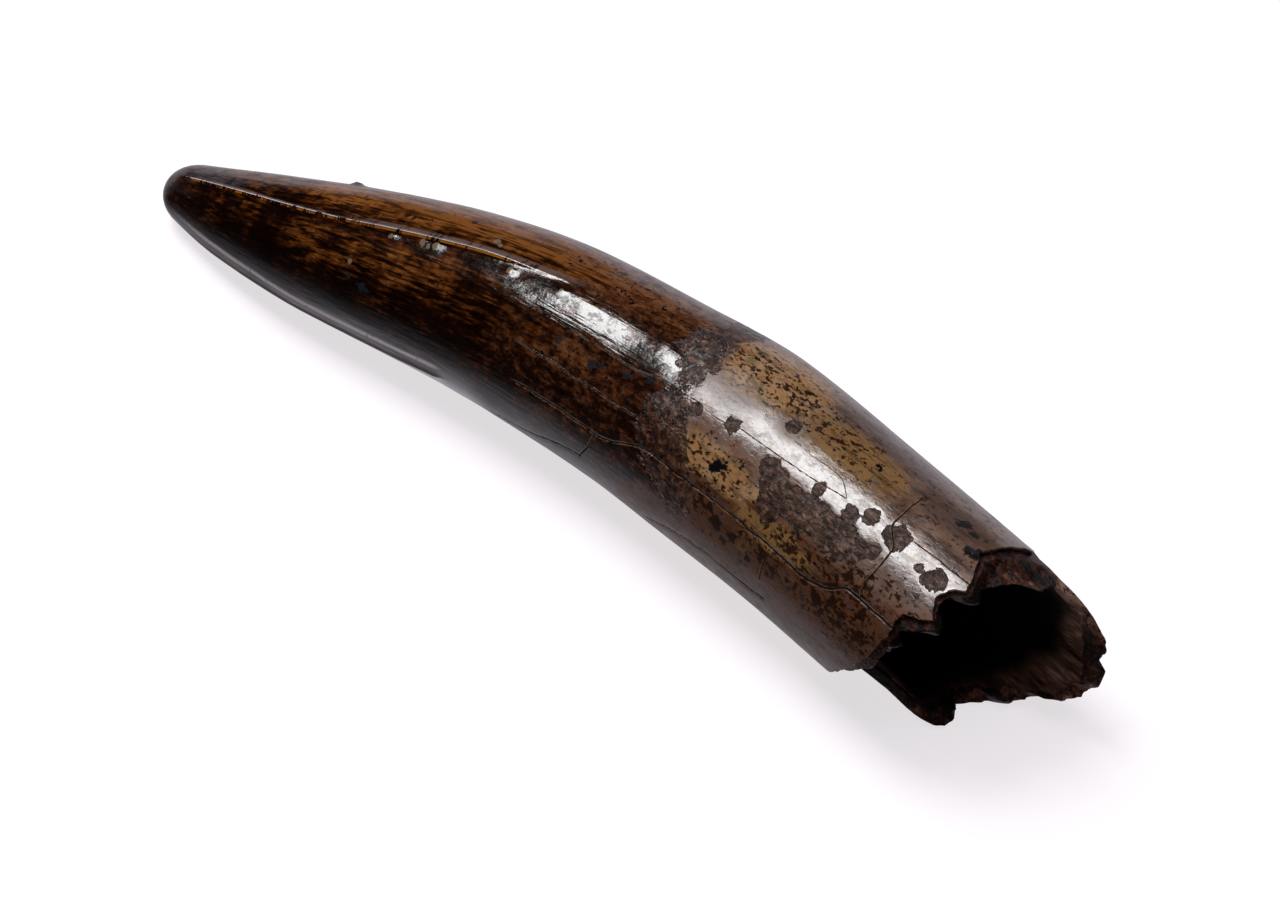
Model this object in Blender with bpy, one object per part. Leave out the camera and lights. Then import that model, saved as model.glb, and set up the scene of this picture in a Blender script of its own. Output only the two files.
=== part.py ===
"""A fossil crocodile tooth, lying on its side with its hollow root broken open.

The named values are in millimetres and degrees, and the mesh is in metres.  The origin is on the
resting surface, under the root.  +X points out of the open pulp cavity, the crown runs towards -X
and curls towards -Y, and +Z is up.

Two coordinates place everything on the tooth.  "along" is the distance from the root's datum
towards the tip.  "around" is the angle about the axis: 0 on the outside of the curve, 90 on top,
180 on the inside of the curve and 270 underneath.
"""
import math

import bmesh
import bpy
import numpy as np

MM = 0.001
FULL_TURN = 360.0

# Overall proportions.
TIP_ALONG = 54.66
TIP_DROOP = 0.15  # how fast the axis sinks over the rounded tip
ORIGIN_ALONG = 12.0
RESTING_FLAT = 0.05  # how much the underside is worn flat
# Radius of the tooth: (along, radius).
GIRTH = [(0, 5.05), (6, 5.11), (12, 5.13), (18, 5.23), (24, 4.94), (30, 4.72), (36, 4.26),
         (42, 3.63), (46, 3.04), (49, 2.50), (51.5, 1.99), (53, 1.67)]
# Turn of the axis away from the straight root: (along, degrees).
BEND = [(10, 0), (20, 4.9), (30, 11.5), (40, 18.6), (47, 12.9), (54, 6.5)]

# The two cutting keels of the crown: (along, around).
UPPER_KEEL = [(24, 92), (27, 94), (30, 98), (34, 101), (39, 106), (43, 109), (47, 109), (52, 108)]
UPPER_KEEL_HEIGHT = 0.2
UPPER_KEEL_FADES = (24.0, 30.0)
LOWER_KEEL = [(33, 197), (37, 202), (40, 204), (43, 204), (46, 202)]
LOWER_KEEL_HEIGHT = 0.14
LOWER_KEEL_FADES = (33.5, 35.0)
KEEL_ENDS = (49.0, 53.5)
KEEL_WIDTH = 0.3

# The widest crack runs from the rim up the side of the root: (along, around).
MAIN_CRACK = [(2, 143), (5, 142), (7, 149), (9, 154), (17, 154), (21, 158), (24, 164), (29, 164)]
MAIN_CRACK_DEPTH = 0.32
MAIN_CRACK_NARROWS = (10.0, 16.0)
MAIN_CRACK_THIN_DEPTH = 0.1
MAIN_CRACK_ENDS = (27.0, 29.5)
MAIN_CRACK_WIDTH = 0.22

# Crusted patches, eaten into the root's skin: (along, around, radius).
CRUST_DEPTH = 0.12
CRUST_PATCHES = [(8.5, 113, 0.5), (7.7, 106, 0.5), (6.0, 106, 0.7), (3.1, 110, 0.65),
                 (12.8, 124, 0.9), (12.2, 134, 0.8), (11.0, 127, 0.9), (9.6, 124, 0.9),
                 (8.2, 125, 0.85), (6.8, 123, 0.6), (16.3, 116, 0.5), (14.2, 163, 0.5)]
# The dark band where the crown meets the root stands slightly proud: (along, around, radius).
BAND_HEIGHT = 0.1
BAND_PATCHES = [(20.2, 70, 0.9), (20.4, 82, 1.0), (20.6, 94, 1.2), (20.5, 104, 0.9),
                (19.5, 131, 1.1), (19.2, 142, 1.3), (18.8, 152, 1.1)]
# Grains stuck to the crown: (along, around, radius, height).
GRAINS = [(43.5, 50, 0.35, 0.2), (38.8, 111, 0.4, 0.14), (36.6, 108, 0.45, 0.16),
          (33.5, 90, 0.35, 0.12), (31.7, 106, 0.35, 0.12), (40.2, 148, 0.4, 0.12)]

# The broken rim, as it goes around the root: (around, along).
SKIN_EDGE = [(0, 2.3), (12, 2.6), (27, 3.2), (42, 2.5), (64, 2.6), (81, 2.7), (94, 2.0),
             (104, 1.6), (110, 2.1), (118, 2.3), (124, 2.1), (130, 1.7), (136, 2.3), (142, 3.1),
             (158, 3.2), (172, 3.7), (182, 4.6), (198, 5.9), (212, 6.9), (224, 8.3), (247, 8.6),
             (253, 6.4), (258, 4.8), (276, 4.9), (290, 3.4), (304, 2.6), (318, 1.2), (332, 0.6),
             (346, 1.4)]
DENTINE_EDGE = [(0, -1.3), (4, -0.9), (10, -0.3), (18, 0.5), (22, 1.6), (27, 2.3), (42, 1.8),
                (64, 2.2), (81, 2.4), (94, 1.8), (104, 1.4), (110, 1.9), (118, 2.1), (124, 1.9),
                (130, 1.5), (136, 2.1), (142, 2.9), (158, 3.0), (172, 3.5), (182, 4.4),
                (198, 5.7), (212, 6.7), (224, 8.1), (247, 8.3), (252, 4.0), (257, 2.7), (262, 2.4),
                (268, 2.4), (274, 3.2), (280, 2.9), (290, 1.8), (300, 1.0), (306, 0.6),
                (309, 0.1), (312, -0.6), (318, -1.1), (324, -1.2), (332, -1.6), (341, -1.6),
                (345, -1.1), (352, -1.5)]
CAVITY_EDGE = [(0, -0.3), (8, 0.0), (14, 1.4), (26, 1.7), (40, 0.8), (50, 0.5), (61, 0.3),
               (68, 1.0), (78, 1.5), (92, 1.8), (101, 1.8), (111, 2.4), (121, 2.8), (130, 2.4),
               (142, 3.4), (158, 3.6), (172, 4.2), (182, 5.0), (198, 6.2), (212, 7.3),
               (224, 8.6), (247, 8.7), (252, 4.9), (258, 3.4), (280, 3.8), (290, 2.6), (304, 1.4),
               (315, -0.2), (330, -0.9), (345, -0.5)]
# Radius of the cavity's edge: (around, radius).
CAVITY_MOUTH = [(0, 4.55), (20, 4.6), (45, 4.35), (70, 4.2), (120, 4.15), (180, 4.1),
                (235, 4.2), (265, 4.45), (320, 4.6)]
# How far the dentine's edge lies inside the skin: (around, depth).
SKIN_STEP = [(0, 0.04), (25, 0.05), (42, 0.22), (205, 0.22), (240, 0.08), (330, 0.04)]
# The tongue of dentine under the root leans to the inside of the curve.
TONGUE_AROUND = 257.0
TONGUE_HALF_WIDTH = 11.0
TONGUE_LEAN = 5.0
TONGUE_ALONG = (3.4, 6.4)
FRACTURE_LUMPS = 0.16

# The pulp cavity narrows to a rounded end inside the crown's base: (along, radius).
CAVITY = [(-2, 4.7), (2, 4.3), (6, 3.9), (10, 3.45), (15, 2.75), (20, 1.95), (25, 1.0),
          (27, 0.5), (28, 0.0)]
CAVITY_END = 28.0
MOUTH_BLEND = 1.5  # how far in the cavity takes the shape of its broken mouth
FLUTE_COUNT = 14
FLUTE_HEIGHT = 0.07

# Mesh divisions.
COLUMNS = 72
TIP_RINGS = (0.06, 0.28, 0.65, 1.15, 1.7, 2.5, 3.5, 4.6)
RIM_ZONE = 9.6
SHAFT_RINGS = 34
RIM_RINGS = 7
CAVITY_RINGS = 12
COLUMN_PULL = 24.0  # degrees either side over which columns are drawn to a keel or crack


def curve_through(points, at):
    """Smooth curve through points that never overshoots them (monotone cubic)."""
    xs = np.array([p[0] for p in points], float)
    ys = np.array([p[1] for p in points], float)
    steps = np.diff(xs)
    slopes = np.diff(ys) / steps
    tangents = np.zeros(len(xs))
    same_way = slopes[:-1] * slopes[1:] > 0
    before, after = steps[:-1], steps[1:]
    weight_a = 2 * after + before
    weight_b = after + 2 * before
    safe_a = np.where(same_way, slopes[:-1], 1.0)
    safe_b = np.where(same_way, slopes[1:], 1.0)
    blended = (weight_a + weight_b) / (weight_a / safe_a + weight_b / safe_b)
    tangents[1:-1] = np.where(same_way, blended, 0.0)
    tangents[0] = slopes[0]
    tangents[-1] = slopes[-1]
    at = np.clip(np.asarray(at, float), xs[0], xs[-1])
    span = np.clip(np.searchsorted(xs, at, side="right") - 1, 0, len(steps) - 1)
    width = steps[span]
    t = (at - xs[span]) / width
    start = (1 + 2 * t) * (1 - t) ** 2 * ys[span] + t * (1 - t) ** 2 * width * tangents[span]
    end = t * t * (3 - 2 * t) * ys[span + 1] - t * t * (1 - t) * width * tangents[span + 1]
    return start + end


def around_rim(points, around):
    """Value at an angle, straight between the given points, all the way round."""
    angles = [p[0] for p in points]
    values = [p[1] for p in points]
    return np.interp(around, angles, values, period=FULL_TURN)


def ease(low, high, value):
    """0 below low, 1 above high, smooth between."""
    t = np.clip((value - low) / (high - low), 0.0, 1.0)
    return t * t * (3 - 2 * t)


def angle_gap(a, b):
    """Signed angle from b to a, within half a turn."""
    half = FULL_TURN / 2
    return (a - b + half) % FULL_TURN - half


def radius_at(along):
    """Radius of the bare tooth, closed at the tip by a rounded end."""
    shaft_end, end_radius = GIRTH[-1]
    step = 0.05
    slope = (end_radius - float(curve_through(GIRTH, shaft_end - step))) / step
    length = TIP_ALONG - shaft_end
    # radius squared = first * u + second * u * u, with u measured back from the tip
    second = (-2 * end_radius * slope * length - end_radius ** 2) / length ** 2
    first = end_radius ** 2 / length - second * length
    u = np.clip(TIP_ALONG - along, 0.0, length)
    cap = np.sqrt(np.maximum(first * u + second * u * u, 0.0))
    return np.where(along < shaft_end, curve_through(GIRTH, along), cap)


def axis_at(along):
    """Axis position in plan and the heading's angle at each distance along."""
    fine = np.linspace(-4.0, TIP_ALONG + 1.0, 1200)
    heading = np.radians(180.0 + curve_through(BEND, fine))
    step = fine[1] - fine[0]
    x = np.concatenate([[0.0], np.cumsum(np.cos(heading[:-1]) * step)])
    y = np.concatenate([[0.0], np.cumsum(np.sin(heading[:-1]) * step)])
    x = x - np.interp(ORIGIN_ALONG, fine, x)
    y = y - np.interp(ORIGIN_ALONG, fine, y)
    return np.interp(along, fine, x), np.interp(along, fine, y), np.interp(along, fine, heading)


def axis_height(along):
    """Height of the axis, so that the whole underside lies on the resting surface."""
    tip_start, tip_radius = GIRTH[-1]
    drop = TIP_DROOP * np.maximum(along - tip_start, 0.0)
    return np.where(along < tip_start, radius_at(np.maximum(along, 0.0)), tip_radius - drop)


def place(along, around, radius):
    """Points in metres from distance along, angle around and distance from the axis."""
    x, y, heading = axis_at(along)
    near_tongue = np.exp(-(angle_gap(around, TONGUE_AROUND) / TONGUE_HALF_WIDTH) ** 2)
    lean = TONGUE_LEAN * near_tongue * (1 - ease(*TONGUE_ALONG, along))
    turn = np.radians(around - lean)
    side = radius * np.cos(turn)
    height = axis_height(along) + radius * np.sin(turn) - RESTING_FLAT
    points = np.stack([x + side * np.sin(heading), y - side * np.cos(heading), height], axis=-1)
    points[..., 2] = np.maximum(points[..., 2], 0.0)
    return points * MM


def column_angles(along):
    """Angle of every column at one distance along, drawn to the keels and the main crack."""
    even = (np.arange(COLUMNS) + 0.5) * FULL_TURN / COLUMNS
    pulled = even.copy()
    for path, home in ((UPPER_KEEL, 107.5), (LOWER_KEEL, 202.5), (MAIN_CRACK, 152.5)):
        first, last = path[0][0], path[-1][0]
        strength = ease(first - 8, first - 1, along) * (1 - ease(last + 1, last + 8, along))
        if path is MAIN_CRACK:
            strength = 1 - ease(last, last + 4, along)
        shift = (float(curve_through(path, along)) - home) * strength
        pulled += shift * np.exp(-(angle_gap(even, home) / COLUMN_PULL) ** 2)
    return pulled


def bump(along, around, radius, spot):
    """Soft round bump of height 1 at a spot given as (along, around, size)."""
    dx = along - spot[0]
    dy = np.radians(angle_gap(around, spot[1])) * radius
    return np.exp(-((dx * dx + dy * dy) / spot[2] ** 2) ** 2)


def ridge(along, around, radius, path, width):
    """Soft ridge of height 1 that follows a path."""
    off = np.radians(angle_gap(around, curve_through(path, along))) * radius
    return np.exp(-(off / width) ** 2)


def relief(along, around, radius):
    """Height of the outer skin over the bare tooth: keels, cracks, crusts and grains."""
    tip_fade = 1 - ease(KEEL_ENDS[0], KEEL_ENDS[1], along)
    height = (UPPER_KEEL_HEIGHT * ridge(along, around, radius, UPPER_KEEL, KEEL_WIDTH)
              * ease(*UPPER_KEEL_FADES, along) * tip_fade)
    height += (LOWER_KEEL_HEIGHT * ridge(along, around, radius, LOWER_KEEL, KEEL_WIDTH)
               * ease(*LOWER_KEEL_FADES, along) * tip_fade)
    depth = MAIN_CRACK_DEPTH + ((MAIN_CRACK_THIN_DEPTH - MAIN_CRACK_DEPTH)
                                * ease(*MAIN_CRACK_NARROWS, along))
    depth = depth * (1 - ease(*MAIN_CRACK_ENDS, along))
    height -= depth * ridge(along, around, radius, MAIN_CRACK, MAIN_CRACK_WIDTH)
    crust = np.zeros_like(height)
    for spot in CRUST_PATCHES:
        crust = np.maximum(crust, bump(along, around, radius, spot))
    height -= CRUST_DEPTH * crust
    band = np.zeros_like(height)
    for spot in BAND_PATCHES:
        band = np.maximum(band, bump(along, around, radius, spot))
    height += BAND_HEIGHT * band
    for grain in GRAINS:
        height += grain[3] * bump(along, around, radius, grain)
    return height


def outer_rows():
    """Rings of the outer skin, from beside the tip to the skin's broken edge."""
    stations = [TIP_ALONG - gap for gap in TIP_RINGS]
    shaft = np.linspace(stations[-1], RIM_ZONE, SHAFT_RINGS)[1:]
    stations.extend(float(value) for value in shaft)
    rows = []
    for station in stations:
        around = column_angles(station)
        along = np.full(COLUMNS, station)
        radius = radius_at(along)
        rows.append(place(along, around, radius + relief(along, around, radius)))
    around = column_angles(RIM_ZONE)
    edge = around_rim(SKIN_EDGE, around)
    for share in np.linspace(0.0, 1.0, RIM_RINGS)[1:]:
        along = RIM_ZONE + (edge - RIM_ZONE) * share
        radius = radius_at(along)
        rows.append(place(along, around, radius + relief(along, around, radius)))
    return rows, around


def fracture_rows(around):
    """Rings over the broken rim: under the skin, the dentine's edge, the break, the mouth."""
    skin = around_rim(SKIN_EDGE, around)
    dentine = np.minimum(around_rim(DENTINE_EDGE, around), skin - 0.1)
    mouth = around_rim(CAVITY_EDGE, around)
    mouth_radius = around_rim(CAVITY_MOUTH, around)
    step = around_rim(SKIN_STEP, around)
    under_skin = radius_at(skin) - step
    dentine_radius = radius_at(dentine) - step * 1.2
    turn = np.radians(around)
    lumps = FRACTURE_LUMPS * (np.sin(11 * turn + 0.6) + 0.6 * np.sin(23 * turn + 2.0))
    middle = (dentine + mouth) / 2 + lumps
    middle_radius = dentine_radius * 0.55 + mouth_radius * 0.45
    rows = [place(skin - 0.04, around, under_skin), place(dentine, around, dentine_radius),
            place(middle, around, middle_radius), place(mouth, around, mouth_radius)]
    return rows, mouth, mouth_radius


def cavity_rows(around, mouth, mouth_radius):
    """Rings of the pulp cavity's wall, from inside its mouth to beside its end."""
    rows = []
    for ring in range(1, CAVITY_RINGS + 1):
        share = (ring / (CAVITY_RINGS + 1)) ** 1.15
        along = mouth + (CAVITY_END - mouth) * share
        wall = curve_through(CAVITY, along)
        blend = np.exp(-(along - mouth) / MOUTH_BLEND)
        wall = wall + (mouth_radius - curve_through(CAVITY, mouth)) * blend
        flutes = FLUTE_HEIGHT * np.sin(FLUTE_COUNT * np.radians(around)) * (1 - share)
        rows.append(place(along, around, wall + flutes))
    return rows


def build_mesh():
    """One closed skin: tip, outside, broken rim, cavity and the cavity's end."""
    outside, around = outer_rows()
    rim, mouth, mouth_radius = fracture_rows(around)
    inside = cavity_rows(around, mouth, mouth_radius)
    rows = outside + rim + inside
    work = bmesh.new()
    rings = [[work.verts.new(point) for point in row] for row in rows]
    tip = work.verts.new(place(np.array([TIP_ALONG]), np.array([0.0]), np.array([0.0]))[0])
    end = work.verts.new(place(np.array([CAVITY_END]), np.array([0.0]), np.array([0.0]))[0])
    for here, there in zip(rings, rings[1:]):
        for column in range(COLUMNS):
            beside = (column + 1) % COLUMNS
            work.faces.new((here[column], here[beside], there[beside], there[column]))
    for column in range(COLUMNS):
        beside = (column + 1) % COLUMNS
        work.faces.new((tip, rings[0][beside], rings[0][column]))
        work.faces.new((end, rings[-1][column], rings[-1][beside]))
    bmesh.ops.triangulate(work, faces=work.faces[:])
    bmesh.ops.recalc_face_normals(work, faces=work.faces[:])
    mesh = bpy.data.meshes.new("tooth")
    work.to_mesh(mesh)
    work.free()
    mesh.shade_smooth()
    mesh.set_sharp_from_angle(angle=math.radians(40))
    return mesh


def fossil_material():
    """Dark, polished fossil dentine and enamel."""
    material = bpy.data.materials.new("fossil_enamel")
    material.use_nodes = True
    shader = material.node_tree.nodes["Principled BSDF"]
    shader.inputs["Base Color"].default_value = (0.075, 0.032, 0.016, 1.0)
    shader.inputs["Roughness"].default_value = 0.3
    shader.inputs["Metallic"].default_value = 0.0
    return material


def main():
    """Clear the scene and build the tooth."""
    for item in list(bpy.data.objects):
        bpy.data.objects.remove(item)
    mesh = build_mesh()
    mesh.materials.append(fossil_material())
    tooth = bpy.data.objects.new("tooth", mesh)
    bpy.context.collection.objects.link(tooth)


main()
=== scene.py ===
"""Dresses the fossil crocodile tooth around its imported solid, on a pale studio floor."""

import logging
import math
from dataclasses import dataclass
from enum import Enum

import bpy
import numpy as np
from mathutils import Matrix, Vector


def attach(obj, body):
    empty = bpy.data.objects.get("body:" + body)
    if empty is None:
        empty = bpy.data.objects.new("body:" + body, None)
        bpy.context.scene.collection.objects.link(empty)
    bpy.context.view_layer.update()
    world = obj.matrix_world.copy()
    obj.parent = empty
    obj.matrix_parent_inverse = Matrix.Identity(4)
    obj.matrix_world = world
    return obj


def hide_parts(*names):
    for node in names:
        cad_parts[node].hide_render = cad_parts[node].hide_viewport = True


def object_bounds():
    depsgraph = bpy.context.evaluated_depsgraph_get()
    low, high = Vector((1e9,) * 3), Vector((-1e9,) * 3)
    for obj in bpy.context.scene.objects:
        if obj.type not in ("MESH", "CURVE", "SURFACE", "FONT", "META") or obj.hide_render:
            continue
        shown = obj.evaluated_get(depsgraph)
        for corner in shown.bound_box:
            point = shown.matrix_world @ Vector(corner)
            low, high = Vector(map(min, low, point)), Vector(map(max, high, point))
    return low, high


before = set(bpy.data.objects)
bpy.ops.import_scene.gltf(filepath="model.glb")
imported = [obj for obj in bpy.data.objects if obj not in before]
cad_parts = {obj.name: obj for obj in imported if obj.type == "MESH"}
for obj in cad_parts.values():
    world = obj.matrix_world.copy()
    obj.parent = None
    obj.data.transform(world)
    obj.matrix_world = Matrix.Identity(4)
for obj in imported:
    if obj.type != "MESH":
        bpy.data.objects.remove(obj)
CAD_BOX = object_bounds()

LOG = logging.getLogger("fossil_tooth")
MM = 0.001
FULL_TURN = 360.0

Array = np.ndarray
Pairs = tuple[tuple[float, float], ...]
Span = tuple[float, float]
Triple = tuple[float, float, float]
Colour = Triple
Stops = tuple[tuple[float, Colour], ...]
Waves = tuple[tuple[float, Triple, float], ...]


def curve_through(points: Pairs, at: Array | float) -> Array:
    """Smooth curve through points that never overshoots them.

    Args:
        points: (place, value) pairs in rising order of place.
        at: The places to read.

    Returns:
        The curve's values, held level beyond the end points.
    """
    xs = np.array([p[0] for p in points], float)
    ys = np.array([p[1] for p in points], float)
    steps = np.diff(xs)
    slopes = np.diff(ys) / steps
    same_way = slopes[:-1] * slopes[1:] > 0
    weight_a = 2 * steps[1:] + steps[:-1]
    weight_b = steps[1:] + 2 * steps[:-1]
    safe_a = np.where(same_way, slopes[:-1], 1.0)
    safe_b = np.where(same_way, slopes[1:], 1.0)
    blended = (weight_a + weight_b) / (weight_a / safe_a + weight_b / safe_b)
    inner = np.where(same_way, blended, 0.0)
    tangents = np.concatenate([slopes[:1], inner, slopes[-1:]])
    at = np.clip(np.asarray(at, float), xs[0], xs[-1])
    span = np.clip(np.searchsorted(xs, at, side="right") - 1, 0, len(steps) - 1)
    width = steps[span]
    t = (at - xs[span]) / width
    start = (1 + 2 * t) * (1 - t) ** 2 * ys[span] + t * (1 - t) ** 2 * width * tangents[span]
    end = t * t * (3 - 2 * t) * ys[span + 1] - t * t * (1 - t) * width * tangents[span + 1]
    return start + end


def around_rim(points: Pairs, around: Array) -> Array:
    """Value at each angle, straight between (angle, value) points, all the way round."""
    return np.interp(around, [p[0] for p in points], [p[1] for p in points], period=FULL_TURN)


def ease(low: float, high: float, value: Array) -> Array:
    """0 below low and 1 above high, smooth between."""
    t = np.clip((value - low) / (high - low), 0.0, 1.0)
    return t * t * (3 - 2 * t)


def angle_gap(a: Array, b: Array | float) -> Array:
    """Signed angle in degrees from b to a, within half a turn."""
    half = FULL_TURN / 2
    return (a - b + half) % FULL_TURN - half


class Grit:
    """Smooth noise in three dimensions that is the same each time."""

    size = 48
    layer_shift = 7.3  # moves each finer layer away from the one before
    evening = 0.6  # brings the sum of the layers back to about -1 to 1

    def __init__(self, seed: int) -> None:
        """Fills the lattice from a seed."""
        self.lattice = np.random.default_rng(seed).uniform(-1, 1, (self.size,) * 3)

    def at(self, points: Array, scale: Triple | float = 1.0) -> Array:
        """Noise from -1 to 1.

        Args:
            points: Places, with three coordinates in the last axis.
            scale: Cells per unit of each coordinate.

        Returns:
            One value for each place.
        """
        spot = points * np.asarray(scale)
        base = np.floor(spot)
        t = spot - base
        t = t * t * t * (t * (t * 6 - 15) + 10)
        cell = base.astype(int)
        total = np.zeros(points.shape[:-1])
        for corner in range(8):
            step = np.array([corner & 1, corner >> 1 & 1, corner >> 2 & 1])
            index = (cell + step) % self.size
            weight = np.prod(np.where(step == 1, t, 1 - t), axis=-1)
            total += weight * self.lattice[index[..., 0], index[..., 1], index[..., 2]]
        return total

    def rough(self, points: Array, scale: Triple | float, octaves: int = 3) -> Array:
        """Noise with finer and weaker layers added, from about -1 to 1.

        Args:
            points: Places, with three coordinates in the last axis.
            scale: Cells per unit of each coordinate, in the first layer.
            octaves: Number of layers.

        Returns:
            One value for each place.
        """
        total = np.zeros(points.shape[:-1])
        for layer in range(octaves):
            moved = points + self.layer_shift * layer
            total += self.at(moved, np.asarray(scale) * 2 ** layer) / 2 ** layer
        return total * self.evening


@dataclass
class Patch:
    """A stretch of the tooth's surface in the tooth's own coordinates.

    along runs from the root's datum to the tip in millimetres, and around is the angle about
    the axis: 0 on the outside of the curve, 90 on top, 180 on the inside, 270 underneath.
    """

    along: Array
    around: Array
    radius: Array

    def across(self, centre: Array | float) -> Array:
        """Distance in millimetres round the tooth from an angle."""
        return np.radians(angle_gap(self.around, centre)) * self.radius

    def straight(self) -> Array:
        """Places on the tooth as if its axis were straight.

        Returns:
            Points in millimetres.
        """
        turn = np.radians(self.around)
        return np.stack(
            [self.along, self.radius * np.cos(turn), self.radius * np.sin(turn)], axis=-1)


@dataclass(frozen=True)
class ToothForm:
    """The bare form of the tooth, the same as its solid's."""

    tip_along: float = 54.66
    tip_droop: float = 0.15
    origin_along: float = 12.0
    resting_flat: float = 0.05
    girth: Pairs = ((0, 5.05), (6, 5.11), (12, 5.13), (18, 5.23), (24, 4.94), (30, 4.72),
                    (36, 4.26), (42, 3.63), (46, 3.04), (49, 2.50), (51.5, 1.99), (53, 1.67))
    bend: Pairs = ((10, 0), (20, 4.9), (30, 11.5), (40, 18.6), (47, 12.9), (54, 6.5))
    tongue_around: float = 257.0
    tongue_half_width: float = 11.0
    tongue_lean: float = 5.0
    tongue_along: Span = (3.4, 6.4)
    axis_before: float = 4.0
    axis_past: float = 1.0
    axis_steps: int = 1200

    def radius_at(self, along: Array) -> Array:
        """Radius of the bare tooth, closed at the tip by a rounded end.

        Args:
            along: Distances from the root's datum, in millimetres.

        Returns:
            The radius in millimetres.
        """
        shaft_end, end_radius = self.girth[-1]
        step = 0.05
        slope = (end_radius - float(curve_through(self.girth, shaft_end - step))) / step
        length = self.tip_along - shaft_end
        second = (-2 * end_radius * slope * length - end_radius ** 2) / length ** 2
        first = end_radius ** 2 / length - second * length
        u = np.clip(self.tip_along - along, 0.0, length)
        cap = np.sqrt(np.maximum(first * u + second * u * u, 0.0))
        return np.where(along < shaft_end, curve_through(self.girth, along), cap)

    def axis_height(self, along: Array) -> Array:
        """Height of the axis, so that the whole underside lies on the resting surface.

        Args:
            along: Distances from the root's datum, in millimetres.

        Returns:
            The height in millimetres.
        """
        tip_start, tip_radius = self.girth[-1]
        drop = self.tip_droop * np.maximum(along - tip_start, 0.0)
        shaft = self.radius_at(np.maximum(along, 0.0))
        return np.where(along < tip_start, shaft, tip_radius - drop)

    def place(self, along: Array, around: Array, radius: Array) -> Array:
        """Places points of the tooth in the frame.

        Args:
            along: Distances from the root's datum, in millimetres.
            around: Angles about the axis, in degrees.
            radius: Distances from the axis, in millimetres.

        Returns:
            Points in metres.
        """
        fine = np.linspace(-self.axis_before, self.tip_along + self.axis_past, self.axis_steps)
        turned = np.radians(180.0 + curve_through(self.bend, fine))
        step = fine[1] - fine[0]
        x = np.concatenate([[0.0], np.cumsum(np.cos(turned[:-1]) * step)])
        y = np.concatenate([[0.0], np.cumsum(np.sin(turned[:-1]) * step)])
        x = np.interp(along, fine, x - np.interp(self.origin_along, fine, x))
        y = np.interp(along, fine, y - np.interp(self.origin_along, fine, y))
        heading = np.interp(along, fine, turned)
        near = np.exp(-(angle_gap(around, self.tongue_around) / self.tongue_half_width) ** 2)
        lean = self.tongue_lean * near * (1 - ease(*self.tongue_along, along))
        turn = np.radians(around - lean)
        side = radius * np.cos(turn)
        height = self.axis_height(along) + radius * np.sin(turn) - self.resting_flat
        points = np.stack(
            [x + side * np.sin(heading), y - side * np.cos(heading), height], axis=-1)
        points[..., 2] = np.maximum(points[..., 2], 0.0)
        return points * MM


class Run(Enum):
    """Which way a crack runs."""

    LENGTHWISE = "lengthwise"
    CROSSWISE = "crosswise"


@dataclass(frozen=True)
class Crack:
    """One crack in the tooth's skin, as a line of (along, around) points."""

    name: str
    path: Pairs
    width: Pairs
    depth: float = 0.0
    run: Run = Run.LENGTHWISE

    def reach(self, patch: Patch, wander: Array) -> Array:
        """Where a stretch of surface lies against the crack.

        Args:
            patch: The stretch of surface.
            wander: Small sideways shifts of the crack, in millimetres.

        Returns:
            Distance off the line, distance past its ends and half its width, in millimetres.
        """
        if self.run is Run.LENGTHWISE:
            place = patch.along
            off = patch.across(curve_through(self.path, place))
            per_unit = 1.0
        else:
            turned = tuple((b, a) for a, b in self.path)
            place = patch.around % FULL_TURN
            off = patch.along - curve_through(turned, place)
            per_unit = np.radians(1.0) * patch.radius
        ends = [p[0 if self.run is Run.LENGTHWISE else 1] for p in self.path]
        past = np.maximum(np.maximum(ends[0] - place, place - ends[-1]), 0.0) * per_unit
        half = np.interp(place, [p[0] for p in self.width], [p[1] for p in self.width]) / 2
        return np.stack([off + wander, past, half], axis=-1)


@dataclass(frozen=True)
class Blots:
    """An irregular patch made of overlapping discs: (along, around, radius)."""

    discs: tuple[Triple, ...]
    ragged: float
    cells: float
    far_outside: float = -9.0

    def inside(self, patch: Patch, grit: Grit) -> Array:
        """Distance in millimetres inside the patch's ragged outline, negative outside it.

        Args:
            patch: The stretch of surface.
            grit: The noise that makes the outline ragged.

        Returns:
            The distance at each point.
        """
        depth = np.full(patch.along.shape, self.far_outside)
        for along, around, radius in self.discs:
            gap = np.hypot(patch.along - along, patch.across(around))
            depth = np.maximum(depth, radius - gap)
        return depth + self.ragged * grit.rough(patch.straight(), self.cells, 3)


@dataclass(frozen=True)
class Zone:
    """A soft-edged area of the surface, by its middle and half extents."""

    along: float
    around: float
    half_length: float
    half_turn: float

    def weight(self, patch: Patch) -> Array:
        """1 in the middle of the area, falling smoothly to 0 outside it.

        Args:
            patch: The stretch of surface.

        Returns:
            The weight of each point.
        """
        a = (patch.along - self.along) / self.half_length
        b = angle_gap(patch.around, self.around) / self.half_turn
        return np.exp(-(a * a + b * b) ** 1.5)


def strongest(zones: tuple[Zone, ...], patch: Patch) -> Array:
    """The greatest weight of several areas at each point."""
    return np.max([zone.weight(patch) for zone in zones], axis=0)


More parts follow.
